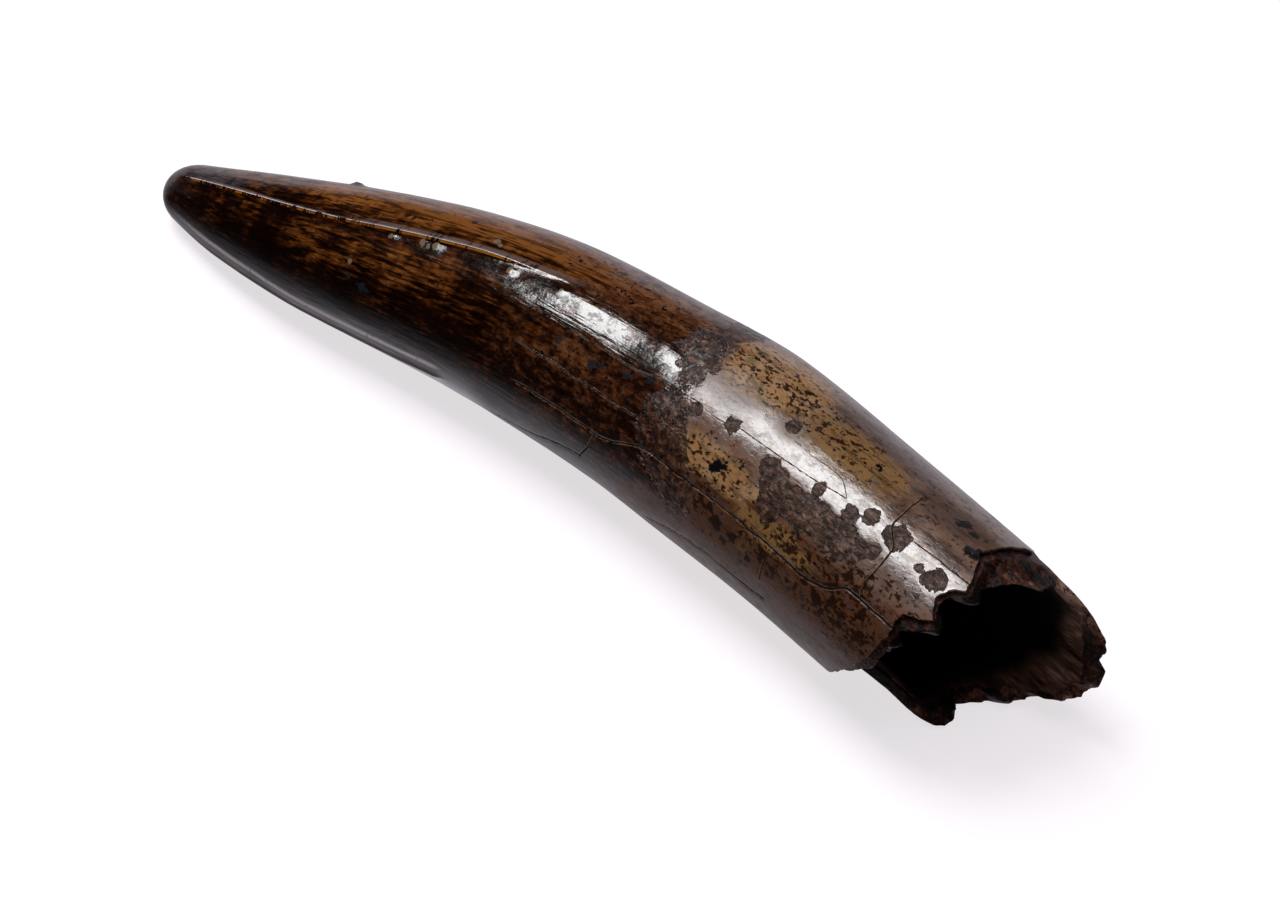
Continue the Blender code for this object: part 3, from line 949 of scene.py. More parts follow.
    def faces(self, rings: int, columns: int) -> list[list[int]]:
        """Faces between the rings, with a fan to each of the two poles after them.

        Args:
            rings: Number of rings.
            columns: Number of points in each ring.

        Returns:
            The numbers of each face's points.
        """
        here = np.arange(rings * columns).reshape(rings, columns)
        beside = np.roll(here, -1, axis=1)
        quads = np.stack([here[:-1], here[1:], beside[1:], beside[:-1]], axis=-1)
        tip, end = rings * columns, rings * columns + 1
        fans = [[tip, int(a), int(b)] for a, b in zip(here[0], beside[0])]
        fans += [[end, int(b), int(a)] for a, b in zip(here[-1], beside[-1])]
        return quads.reshape(-1, 4).tolist() + fans

    def sharpen(self, mesh: bpy.types.Mesh, columns: int, skin_rings: int) -> None:
        """Marks the skin's broken edge and the ring under it as sharp.

        Args:
            mesh: The tooth's mesh.
            columns: Number of points in each ring.
            skin_rings: Number of rings in the outer skin.
        """
        ends = np.empty(len(mesh.edges) * 2, np.int32)
        mesh.edges.foreach_get("vertices", ends)
        ring = (ends // columns).reshape(-1, 2)
        edge = (ring[:, 0] == ring[:, 1]) & np.isin(ring[:, 0], (skin_rings - 1, skin_rings))
        layer = mesh.attributes.new("sharp_edge", "BOOLEAN", "EDGE")
        layer.data.foreach_set("value", edge)

    def unroll(self, mesh: bpy.types.Mesh, rings: int, columns: int) -> None:
        """Lays the skin out flat, ring by ring, for its baked maps.

        Args:
            mesh: The tooth's mesh.
            rings: Number of rings.
            columns: Number of points in each ring.
        """
        corners = np.empty(len(mesh.loops), np.int32)
        mesh.loops.foreach_get("vertex_index", corners)
        ring = np.minimum(corners // columns, rings)
        column = corners % columns
        starts = np.empty(len(mesh.polygons), np.int32)
        sizes = np.empty(len(mesh.polygons), np.int32)
        mesh.polygons.foreach_get("loop_start", starts)
        mesh.polygons.foreach_get("loop_total", sizes)
        face_of = np.repeat(np.arange(len(starts)), sizes)
        pole = corners >= rings * columns
        column = np.where(pole, 0, column)
        lowest = np.full(len(starts), columns)
        np.minimum.at(lowest, face_of, np.where(pole, columns, column))
        highest = np.zeros(len(starts), int)
        np.maximum.at(highest, face_of, np.where(pole, 0, column))
        wraps = (highest - lowest > columns // 2)[face_of]
        column = np.where(wraps & (column == 0), columns, column)
        first = np.where(wraps, columns - 1, lowest[face_of])
        u = np.where(pole, first + 0.5, column) / columns
        height = np.where(corners == rings * columns, -1, np.where(pole, rings, ring))
        v = 1.0 - (height + 1.0) / (rings + 1.0)
        layer = mesh.uv_layers.new(name="OFBake")
        layer.data.foreach_set("uv", np.stack([u, v], axis=-1).ravel().astype(np.float32))

    def store_fields(self, mesh: bpy.types.Mesh, whole: Patch, sizes: list[int],
                     extra: dict[str, Array]) -> None:
        """Stores on the mesh what the finish reads at each point.

        Args:
            mesh: The tooth's mesh, ring by ring, with its two poles last.
            whole: The surface in the tooth's own coordinates.
            sizes: Number of rings in the outer skin, the ledge, the break and the cavity.
            extra: Further fields, as they are.
        """
        grit = Grit(self.skin_seed)
        bare = Patch(whole.along, whole.around, self.form.radius_at(whole.along))
        wander = self.waved(self.wander, grit, bare.straight())
        turn = bare.around % FULL_TURN
        fields = {
            **extra,
            "straight": whole.straight(),
            "flat": np.stack([bare.along, bare.across(SPOT_MIDDLE), 0 * bare.along], axis=-1),
            "layer": np.repeat([0.0, 1.0, 1.0, 2.0], sizes)[:, None] + 0 * whole.along,
            "seat": whole.along - around_rim(SEAT, turn),
            "amber": np.max([zone.weight(bare) * most for zone, most in AMBER], axis=0),
            "shade": ease(*SHADE_TURN, turn),
            "flank": ease(*FLANK_TURN, turn) * (1 - ease(*FLANK_ENDS, bare.along)),
            **{name: blots.inside(bare, grit) for name, blots in BLOTS.items()},
            **{name: strongest(zones, bare) for name, zones in ZONES.items()},
            **{keel.name: np.stack([keel.off(bare), keel.strength(bare), 0 * bare.along],
                                   axis=-1) for keel in KEELS},
            **{crack.name: crack.reach(bare, wander) for crack in CRACKS},
        }
        for name, values in fields.items():
            self.store(mesh, name, values)

    def store(self, mesh: bpy.types.Mesh, name: str, values: Array) -> None:
        """Stores one field, giving each pole the mean of the ring beside it.

        Args:
            mesh: The tooth's mesh.
            name: The field's name.
            values: A number or three for each ring and column.
        """
        vector = values.ndim == 3
        flat = values.reshape(-1, 3) if vector else values.ravel()
        poles = np.stack([values[0].mean(axis=0), values[-1].mean(axis=0)])
        kind, slot = ("FLOAT_VECTOR", "vector") if vector else ("FLOAT", "value")
        layer = mesh.attributes.new(name, kind, "POINT")
        data = np.concatenate([flat, poles]).astype(np.float32)
        layer.data.foreach_set(slot, data.ravel())


# ---------------------------------------------------------------------------------------------
# Finish
# ---------------------------------------------------------------------------------------------


MIDDLE_NOISE = 0.5


class Term:
    """A socket's value, to be used in sums."""

    def __init__(self, graph: "Graph", socket: bpy.types.NodeSocket) -> None:
        """Wraps a socket of a graph."""
        self.graph = graph
        self.socket = socket

    def __add__(self, other: "Term | float") -> "Term":
        """Sum."""
        return self.graph.math("ADD", self, other)

    def __radd__(self, other: float) -> "Term":
        """Sum with a number first."""
        return self.graph.math("ADD", other, self)

    def __sub__(self, other: "Term | float") -> "Term":
        """Difference."""
        return self.graph.math("SUBTRACT", self, other)

    def __rsub__(self, other: float) -> "Term":
        """Difference from a number."""
        return self.graph.math("SUBTRACT", other, self)

    def __mul__(self, other: "Term | float") -> "Term":
        """Product."""
        return self.graph.math("MULTIPLY", self, other)

    def __rmul__(self, other: float) -> "Term":
        """Product with a number first."""
        return self.graph.math("MULTIPLY", other, self)

    def __abs__(self) -> "Term":
        """Size without sign."""
        return self.graph.math("ABSOLUTE", self)

    def __pow__(self, power: float) -> "Term":
        """Power."""
        return self.graph.math("POWER", self, power)

    def most(self, other: "Term | float") -> "Term":
        """The greater of two values."""
        return self.graph.math("MAXIMUM", self, other)

    def least(self, other: "Term | float") -> "Term":
        """The lesser of two values."""
        return self.graph.math("MINIMUM", self, other)

    def swing(self, width: float) -> "Term":
        """Noise made to swing about zero."""
        return (self - MIDDLE_NOISE) * width

    def between(self, low: float, high: float) -> "Term":
        """A smooth rise or fall between two values, level beyond them.

        Args:
            low: The value that gives 0.
            high: The value that gives 1, which may be the lesser of the two.

        Returns:
            The smooth value from 0 to 1.
        """
        rising = low < high
        ends = (low, high) if rising else (high, low)
        made = self.graph.node(
            "ShaderNodeMapRange", {"interpolation_type": "SMOOTHSTEP", "clamp": False},
            {"Value": self, "From Min": ends[0], "From Max": ends[1],
             "To Min": 0.0 if rising else 1.0, "To Max": 1.0 if rising else 0.0})
        return Term(self.graph, made.outputs["Result"])


@dataclass(frozen=True)
class Cloud:
    """Settings of a cloudy noise over the tooth.

    scale holds the cells for each millimetre along and across it, detail the number of finer
    layers, rough how strong those are, warp how much the noise is folded, and shift which
    part of the noise to take.
    """

    scale: Triple
    detail: float = 2.0
    rough: float = 0.5
    warp: float = 0.0
    shift: float = 0.0


class Graph:
    """Shader nodes, added one way each."""

    def __init__(self, tree: bpy.types.NodeTree) -> None:
        """Takes the tree that the nodes go in."""
        self.tree = tree

    def feed(self, socket: bpy.types.NodeSocket, value: object) -> None:
        """Sets a socket, or links it where the value is another socket's.

        Args:
            socket: The socket to feed.
            value: A number, colour, vector, socket or term.
        """
        if isinstance(value, Term):
            value = value.socket
        if isinstance(value, bpy.types.NodeSocket):
            self.tree.links.new(value, socket)
        elif isinstance(value, tuple) and socket.type == "RGBA":
            socket.default_value = (*value, 1.0)
        else:
            socket.default_value = value

    def node(self, kind: str, settings: dict[str, object],
             values: dict[str | int, object]) -> bpy.types.Node:
        """Adds a node.

        Args:
            kind: The node's type.
            settings: Its own settings, with a ramp's stops as (place, colour) pairs.
            values: Values or links of its sockets, by name or number.

        Returns:
            The node.
        """
        made = self.tree.nodes.new(kind)
        for name, value in settings.items():
            if name == "stops":
                self.set_stops(made.color_ramp, value)
            else:
                setattr(made, name, value)
        for key, value in values.items():
            self.feed(made.inputs[key], value)
        return made

    def set_stops(self, ramp: bpy.types.ColorRamp, stops: Stops) -> None:
        """Gives a colour ramp its stops.

        Args:
            ramp: The ramp.
            stops: (place, colour) pairs in rising order.
        """
        while len(ramp.elements) < len(stops):
            ramp.elements.new(1.0)
        for element, (place, colour) in zip(ramp.elements, stops):
            element.position = place
            element.color = (*colour, 1.0)

    def math(self, operation: str, *terms: Term | float) -> Term:
        """The result of one sum."""
        made = self.node("ShaderNodeMath", {"operation": operation}, dict(enumerate(terms)))
        return Term(self, made.outputs[0])

    def field(self, name: str) -> Term:
        """A number stored on the mesh."""
        made = self.node("ShaderNodeAttribute", {"attribute_name": name}, {})
        return Term(self, made.outputs["Fac"])

    def triple(self, name: str) -> tuple[Term, Term, Term]:
        """The three numbers of a vector stored on the mesh.

        Args:
            name: The field's name.

        Returns:
            A term for each of them.
        """
        made = self.node("ShaderNodeAttribute", {"attribute_name": name}, {})
        parts = self.node("ShaderNodeSeparateXYZ", {}, {0: made.outputs["Vector"]})
        return tuple(Term(self, socket) for socket in parts.outputs)

    def stretched(self, scale: Triple, shift: float = 0.0) -> bpy.types.NodeSocket:
        """The straightened place on the tooth, scaled and shifted.

        Args:
            scale: Factors along the tooth and across it.
            shift: Distance to move along all three axes.

        Returns:
            A vector socket.
        """
        place = self.node("ShaderNodeAttribute", {"attribute_name": "straight"}, {})
        made = self.node("ShaderNodeMapping", {"vector_type": "POINT"},
                         {"Vector": place.outputs["Vector"], "Scale": scale,
                          "Location": (shift, shift, shift)})
        return made.outputs[0]

    def noise(self, cloud: Cloud) -> Term:
        """Cloudy noise over the tooth, mostly from 0.25 to 0.75.

        Args:
            cloud: Its settings.

        Returns:
            The noise.
        """
        made = self.node("ShaderNodeTexNoise", {"noise_dimensions": "3D"},
                         {"Vector": self.stretched(cloud.scale, cloud.shift), "Scale": 1.0,
                          "Detail": cloud.detail, "Roughness": cloud.rough,
                          "Distortion": cloud.warp})
        return Term(self, made.outputs[0])

    def net(self, scale: Triple) -> Term:
        """Distance to the nearest line of a fine net.

        Args:
            scale: Meshes of the net for each millimetre along and across the tooth.

        Returns:
            The distance, in meshes.
        """
        made = self.node("ShaderNodeTexVoronoi", {"feature": "DISTANCE_TO_EDGE"},
                         {"Vector": self.stretched(scale), "Scale": 1.0})
        return Term(self, made.outputs["Distance"])

    def marks(self, spots: tuple[Triple, ...], uneven: Term) -> Term:
        """Cover of small marks on the skin.

        Args:
            spots: The marks as (along, around, radius).
            uneven: Noise that frays their outlines.

        Returns:
            1 inside the marks and 0 elsewhere.
        """
        place = self.node("ShaderNodeAttribute", {"attribute_name": "flat"}, {})
        form = ToothForm()
        nearest = None
        for along, around, radius in spots:
            across = math.radians(around - SPOT_MIDDLE) * float(form.radius_at(np.array(along)))
            made = self.node("ShaderNodeVectorMath", {"operation": "DISTANCE"},
                             {0: place.outputs["Vector"], 1: Vector((along, across, 0.0))})
            gap = Term(self, made.outputs["Value"]) - radius
            nearest = gap if nearest is None else nearest.least(gap)
        return (nearest + uneven.swing(MARK_FRAY)).between(*MARK_EDGE)

    def mix(self, share: Term | float, first: object, second: object) -> bpy.types.NodeSocket:
        """A colour between two others.

        Args:
            share: How much of the second colour to take.
            first: Colour or colour socket.
            second: Colour or colour socket.

        Returns:
            A colour socket.
        """
        made = self.node("ShaderNodeMix", {"data_type": "RGBA"}, {0: share, 6: first, 7: second})
        return made.outputs[2]

    def ramp(self, share: Term, stops: Stops) -> bpy.types.NodeSocket:
        """A colour read from a ramp."""
        made = self.node("ShaderNodeValToRGB", {"stops": stops}, {0: share})
        return made.outputs[0]


class Coat(Graph):
    """A new material's nodes."""

    def __init__(self, name: str) -> None:
        """Starts a material with its plain shader.

        Args:
            name: The material's name.
        """
        self.material = bpy.data.materials.new(name)
        self.material.use_nodes = True
        super().__init__(self.material.node_tree)
        self.shader = self.tree.nodes["Principled BSDF"]


@dataclass(frozen=True)
class CrownFinish:
    """Polished enamel: nearly black, with amber clouds under fine lengthwise lines."""

    stops: Stops = (
        (0.0, (0.0030, 0.0008, 0.0003)), (0.25, (0.0068, 0.0016, 0.0005)),
        (0.45, (0.020, 0.0048, 0.0010)), (0.7, (0.060, 0.0175, 0.0032)),
        (1.0, (0.135, 0.047, 0.0105)))
    line: Colour = (0.0022, 0.0008, 0.0004)
    collar: Stops = (
        (0.0, (0.0028, 0.0009, 0.0006)), (0.35, (0.011, 0.0034, 0.0017)),
        (0.65, (0.052, 0.0165, 0.0060)), (1.0, (0.120, 0.049, 0.021)))
    splodge: Colour = (0.0030, 0.0022, 0.0024)
    pale: Colour = (0.130, 0.098, 0.065)
    blue: Colour = (0.008, 0.012, 0.016)
    roughness: float = 0.11
    # Noises
    clouds: Cloud = Cloud((0.4, 0.7, 0.7), 3.0, 0.65, 0.0, 9.0)
    rings: Cloud = Cloud((1.0, 0.12, 0.12), 3.0, 0.7, 0.0, 5.0)
    dashes: Cloud = Cloud((1.5, 4.8, 4.8), 2.0, 0.6, 0.0, 3.0)
    lines: Cloud = Cloud((0.3, 5.0, 5.0), 2.0, 0.6, 0.3)
    mottles: Cloud = Cloud((1.5, 2.0, 2.0), 4.0, 0.7, 0.5, 13.0)
    dots: Cloud = Cloud((3.8, 4.4, 4.4), 3.0, 0.65, 0.0, 2.0)
    # Where each look begins in its noise or along the tooth, and how thickly it covers.
    ring_start: Span = (44.5, 45.1)
    ring_end: Span = (46.9, 46.3)
    line_edge: Span = (0.51, 0.43)
    line_share: float = 0.82
    collar_wander: float = 22.0
    collar_end: Span = (31.0, 27.0)
    collar_share: float = 0.85
    dot_edge: Span = (0.63, 0.67)
    pale_share: float = 0.8
    dark_share: float = 0.85
    blue_share: float = 0.8
    # How far each noise swings the tone, and what each area adds to it.
    cloud_swing: float = 0.9
    ring_swing: float = 0.9
    dash_swing: float = 1.2
    line_swing: float = 1.1
    base_tone: float = 0.14
    amber_tone: float = 0.47
    upper_tone: float = 0.58
    upper_calm: float = 0.25
    ring_tone: float = 0.2
    upper_lines: float = 0.30
    collar_tone: float = 0.38
    collar_mottles: float = 1.9
    collar_dashes: float = 1.0
    collar_upper: float = 0.35
    collar_amber: float = 0.3
    collar_dots: float = 0.06

    def colour(self, graph: Graph, along: Term, uneven: Term) -> bpy.types.NodeSocket:
        """Colour of the enamel over the crown.

        Args:
            graph: The material's nodes.
            along: Place along the tooth.
            uneven: Fine noise.

        Returns:
            A colour socket.
        """
        clouds = graph.noise(self.clouds)
        rings = graph.noise(self.rings)
        dashes = graph.noise(self.dashes)
        lines = graph.noise(self.lines)
        dark_ring = along.between(*self.ring_start) * along.between(*self.ring_end)
        upper = graph.field("upper")
        streaks = (clouds.swing(self.cloud_swing) + rings.swing(self.ring_swing)
                   + dashes.swing(self.dash_swing) + lines.swing(self.line_swing))
        tone = (self.base_tone + graph.field("amber") * self.amber_tone
                + upper * self.upper_tone + streaks * (1 - upper * self.upper_calm)
                - dark_ring * self.ring_tone)
        shade = graph.ramp(tone, self.stops)
        drawn = lines.between(*self.line_edge) * (self.line_share - upper * self.upper_lines)
        shade = graph.mix(drawn, shade, self.line)
        low = (along + clouds.swing(self.collar_wander)).between(*self.collar_end)
        mottles = graph.noise(self.mottles)
        tone = (self.collar_tone + mottles.swing(self.collar_mottles)
                + dashes.swing(self.collar_dashes) + upper * self.collar_upper
                + graph.field("amber") * self.collar_amber)
        collar = graph.ramp(tone, self.collar)
        shade = graph.mix(low * self.collar_share, shade, collar)
        dots = graph.noise(self.dots)
        dots = (dots + low * self.collar_dots).between(*self.dot_edge)
        shade = graph.mix(dots, shade, self.splodge)
        shade = graph.mix(graph.marks(PALE_MARKS, uneven) * self.pale_share, shade, self.pale)
        shade = graph.mix(graph.marks(DARK_MARKS, uneven) * self.dark_share, shade,
                          self.splodge)
        return graph.mix(graph.marks(BLUE_MARKS, uneven) * self.blue_share, shade, self.blue)


@dataclass(frozen=True)
class RootFinish:
    """Satin root: tan, ochre and lilac-grey, speckled and mottled with dark brown, with painted
    shade on its shaded lower side and some painted sheen in the lilac.
    """

    ground: Colour = (0.118, 0.062, 0.037)
    # Darker brown painted as shade on the side turned from the light.
    lower: Colour = (0.058, 0.0225, 0.0098)
    brown: Colour = (0.036, 0.0155, 0.0095)
    tan: Colour = (0.235, 0.122, 0.048)
    pale_tan: Colour = (0.265, 0.160, 0.092)
    olive: Colour = (0.108, 0.074, 0.036)
    ochre: Colour = (0.160, 0.085, 0.028)
    # Lilac-grey: the root's own colour in the noise patches, partly a painted sheen where the
    # lilac zones lie.
    lilac: Colour = (0.118, 0.080, 0.067)
    blue: Colour = (0.034, 0.036, 0.046)
    speck: Colour = (0.012, 0.0038, 0.0020)
    mottle: Colour = (0.0090, 0.0032, 0.0019)
    net: Colour = (0.045, 0.022, 0.014)
    roughness: float = 0.19
    # Noises
    clouds: Cloud = Cloud((0.7, 0.9, 0.9), 4.0, 0.65)
    ragged: Cloud = Cloud((1.3, 1.9, 1.9), 4.0, 0.7, 0.5, 4.0)
    patches: Cloud = Cloud((1.5, 2.0, 2.0), 4.0, 0.7, 0.5, 12.0)
    fibres: Cloud = Cloud((0.6, 4.6, 4.6), 3.0, 0.6, 0.0, 37.0)
    specks: Cloud = Cloud((3.4, 5.2, 5.2), 3.0, 0.65, 0.0, 2.0)
    # Where each look begins in its noise or along the tooth, and how thickly it covers.
    lilac_edge: Span = (0.40, 0.60)
    lilac_share: float = 0.8
    painted_shade_edge: Span = (0.2, 0.9)
    brown_edge: Span = (0.1, 0.9)
    brown_share: float = 0.75
    tan_edge: Span = (0.15, 0.85)
    pale_edge: Span = (0.40, 0.58)
    olive_edge: Span = (0.51, 0.40)
    olive_share: float = 0.8
    tan_share: float = 0.95
    ochre_edge: Span = (0.2, 0.9)
    ochre_share: float = 0.85
    blue_share: float = 0.5
    blue_edge: Span = (0.43, 0.36)
    fibre_share: float = 0.5
    fibre_edge: Span = (0.47, 0.35)
    mottle_edge: Span = (0.555, 0.625)
    stain_edge: Span = (-0.04, 0.08)
    mottle_share: float = 0.92
    # Meshes of the fine net for each millimetre.
    meshes: Triple = (2.6, 3.4, 3.4)
    net_edge: Span = (0.045, 0.012)
    net_area: Span = (0.49, 0.57)
    net_share: float = 0.3
    speck_edge: Span = (0.63, 0.67)
    speck_share: float = 0.95
    # How ragged each area's outline is, and how strongly each area and noise counts.
    painted_shade_ragged: float = 1.2
    brown_ragged: float = 1.6
    tan_ragged: float = 1.9
    ochre_ragged: float = 2.0
    patch_strength: float = 1.15
    mottle_patches: float = 0.65
    mottle_specks: float = 0.35
    mottle_field: float = 0.085
    stain_fray: float = 0.6
    speckled_field: float = 0.10
    speckled_swing: float = 0.7

    def colour(self, graph: Graph) -> bpy.types.NodeSocket:
        """Colour of the root's skin, without its crusts and cracks.

        Args:
            graph: The material's nodes.

        Returns:
            A colour socket.
        """
        clouds = graph.noise(self.clouds)
        ragged = graph.noise(self.ragged)
        patches = graph.noise(self.patches)
        fibres = graph.noise(self.fibres)
        shade = graph.mix(clouds.between(*self.lilac_edge), self.ground, self.lilac)
        # Partly painted sheen: lilac laid by the zones near the highlight and the far edge.
        shade = graph.mix(graph.field("lilac") * self.lilac_share, shade, self.lilac)
        # Painted shade where the skin turns to its shaded side.
        below = (graph.field("shade") + ragged.swing(self.painted_shade_ragged)).between(*self.painted_shade_edge)
        shade = graph.mix(below, shade, self.lower)
        dusky = (graph.field("brown") + ragged.swing(self.brown_ragged)).between(*self.brown_edge)
        shade = graph.mix(dusky * self.brown_share, shade, self.brown)
        tan = graph.field("tan") * self.patch_strength + ragged.swing(self.tan_ragged)
        tan = tan.between(*self.tan_edge)
        warm = graph.mix(clouds.between(*self.pale_edge), self.tan, self.pale_tan)
        warm = graph.mix(patches.between(*self.olive_edge) * self.olive_share, warm, self.olive)
        shade = graph.mix(tan * self.tan_share, shade, warm)
        ochre = graph.field("ochre") * self.patch_strength + clouds.swing(self.ochre_ragged)
        ochre = ochre.between(*self.ochre_edge)
        shade = graph.mix(ochre * self.ochre_share, shade, self.ochre)
        bluish = patches.between(*self.blue_edge) * (1 - tan) * self.blue_share
        shade = graph.mix(bluish, shade, self.blue)
        dark = fibres.between(*self.fibre_edge) * self.fibre_share
        shade = graph.mix(dark, shade, self.mottle)
        specks = graph.noise(self.specks)
        mixed = (patches * self.mottle_patches + specks * self.mottle_specks
                 + graph.field("mottle") * self.mottle_field)
        mottled = mixed.between(*self.mottle_edge)
        stains = graph.field("stains") + specks.swing(self.stain_fray)
        mottled = mottled.most(stains.between(*self.stain_edge))
        shade = graph.mix(mottled * self.mottle_share, shade, self.mottle)
        lines = graph.net(self.meshes).between(*self.net_edge)
        lines = lines * (1 - below) * clouds.between(*self.net_area) * self.net_share
        shade = graph.mix(lines, shade, self.net)
        crowded = (graph.field("speckled") * self.speckled_field
                   + ragged.swing(self.speckled_swing))
        dark = (specks + crowded).between(*self.speck_edge) * self.speck_share
        return graph.mix(dark, shade, self.speck)


@dataclass(frozen=True)
class CrustFinish:
    """Matte brown crust that fills eaten patches, with a darker outline."""

    stops: Stops = (
        (0.0, (0.0050, 0.0018, 0.0010)), (0.35, (0.022, 0.0088, 0.0048)),
        (0.6, (0.050, 0.0240, 0.0148)), (1.0, (0.130, 0.082, 0.057)))
    dark: Colour = (0.010, 0.0040, 0.0024)
    roughness: float = 0.30
    lumps: Cloud = Cloud((2.0, 4.0, 4.0), 4.0, 0.75, 0.4, 6.0)
    # The outline's depth in millimetres, and how thickly it covers.
    outline: Span = (0.13, 0.04)
    outline_share: float = 0.8
    # The ramp's tone, and how far the lumps swing it.
    tone: float = 0.44
    swing: float = 3.6

    def colour(self, graph: Graph, inside: Term) -> bpy.types.NodeSocket:
        """Colour inside a patch of crust.

        Args:
            graph: The material's nodes.
            inside: Distance inside the patch, in millimetres.

        Returns:
            A colour socket.
        """
        lumps = graph.noise(self.lumps)
        shade = graph.ramp(self.tone + lumps.swing(self.swing), self.stops)
        return graph.mix(inside.between(*self.outline) * self.outline_share, shade, self.dark)


@dataclass(frozen=True)
class BandFinish:
    """Rough chocolate band where the crown meets the root."""

    stops: Stops = (
        (0.0, (0.0030, 0.0009, 0.0005)), (0.4, (0.021, 0.0074, 0.0040)),
        (0.7, (0.072, 0.0310, 0.0180)), (1.0, (0.130, 0.070, 0.044)))
    roughness: float = 0.12
    lumps: Cloud = Cloud((1.9, 2.8, 2.8), 4.0, 0.75, 0.6, 15.0)
    # The ramp's tone, and how far the lumps swing it.
    tone: float = 0.38
    swing: float = 3.2

    def colour(self, graph: Graph) -> bpy.types.NodeSocket:
        """Colour inside the band."""
        lumps = graph.noise(self.lumps)
        return graph.ramp(self.tone + lumps.swing(self.swing), self.stops)


@dataclass(frozen=True)
class BreakFinish:
    """Rough red-brown break and the fibrous wall of the cavity, with painted shade deep in the
    cavity and in the pits, and painted light where the wall is lit.
    """

    stops: Stops = (
        (0.0, (0.0030, 0.0010, 0.0007)), (0.35, (0.018, 0.0050, 0.0027)),
        (0.65, (0.066, 0.0190, 0.0095)), (1.0, (0.150, 0.072, 0.046)))
    plank: Colour = (0.170, 0.100, 0.072)
    seam: Colour = (0.012, 0.006, 0.004)
    wall: Stops = (
        (0.0, (0.0064, 0.0024, 0.0013)), (0.45, (0.052, 0.0235, 0.0138)),
        (1.0, (0.172, 0.098, 0.064)))
    # Near-black painted shade, deep in the cavity and in the break's pits.
    deep_shade: Colour = (0.0012, 0.0006, 0.0004)
    roughness: float = 0.40
    lumps: Cloud = Cloud((2.2, 2.6, 2.6), 4.0, 0.75, 0.5, 21.0)
    pits: Cloud = Cloud((3.0, 3.4, 3.4), 3.0, 0.7, 0.4, 47.0)
    fibres: Cloud = Cloud((0.45, 3.6, 3.6), 4.0, 0.7, 0.3, 31.0)
    # Where each look begins in its noise or along the tooth, and how thickly it covers.
    pit_edge: Span = (0.45, 0.39)
    pit_share: float = 0.9
    seam_edge: Span = (0.50, 0.40)
    plank_edge: Span = (0.30, 0.42)
    deep_shade_edge: Span = (-1.6, 1.4)
    # What sets the break's tone, the wall's tone and the painted shade deeper in the wall, and
    # how far the painted light lifts the lit part.
    tone: float = 0.32
    tone_raised: float = 0.45
    tone_swing: float = 2.6
    tone_lit: float = 0.16
    wall_tone: float = 0.42
    wall_raised: float = 0.25
    wall_swing: float = 2.4
    depth_fibres: float = 5.0
    depth_lit: float = 4.0

    def colour(self, graph: Graph, inner: Term) -> bpy.types.NodeSocket:
        """Colour of the break, going over to the cavity's wall, which is painted into shade
        deeper in.

        Args:
            graph: The material's nodes.
            inner: 1 on the cavity's wall and 0 on the break.

        Returns:
            A colour socket.
        """
        raised = graph.field("raised")
        lumps = graph.noise(self.lumps)
        # Painted light: the lit part of the wall and break is made lighter.
        tone = (self.tone - raised * self.tone_raised + lumps.swing(self.tone_swing)
                + graph.field("lit_wall") * self.tone_lit)
        broken = graph.ramp(tone, self.stops)
        # Pits in the break painted near black: partly painted shade in the hollows.
        pits = graph.noise(self.pits)
        broken = graph.mix(pits.between(*self.pit_edge) * self.pit_share, broken, self.deep_shade)
        fibres = graph.noise(self.fibres)
        plank = graph.mix(fibres.between(*self.seam_edge), self.plank, self.seam)
        on_plank = graph.field("plank") * lumps.between(*self.plank_edge)
        broken = graph.mix(on_plank, broken, plank)
        tone = self.wall_tone + raised * self.wall_raised + fibres.swing(self.wall_swing)
        wall = graph.ramp(tone, self.wall)
        # Painted shade growing deeper into the cavity, held back where the wall is lit.
        depth = (graph.field("inward") + fibres.swing(self.depth_fibres)
                 - graph.field("lit_wall") * self.depth_lit)
        wall = graph.mix(depth.between(*self.deep_shade_edge), wall, self.deep_shade)
        return graph.mix(inner, broken, wall)


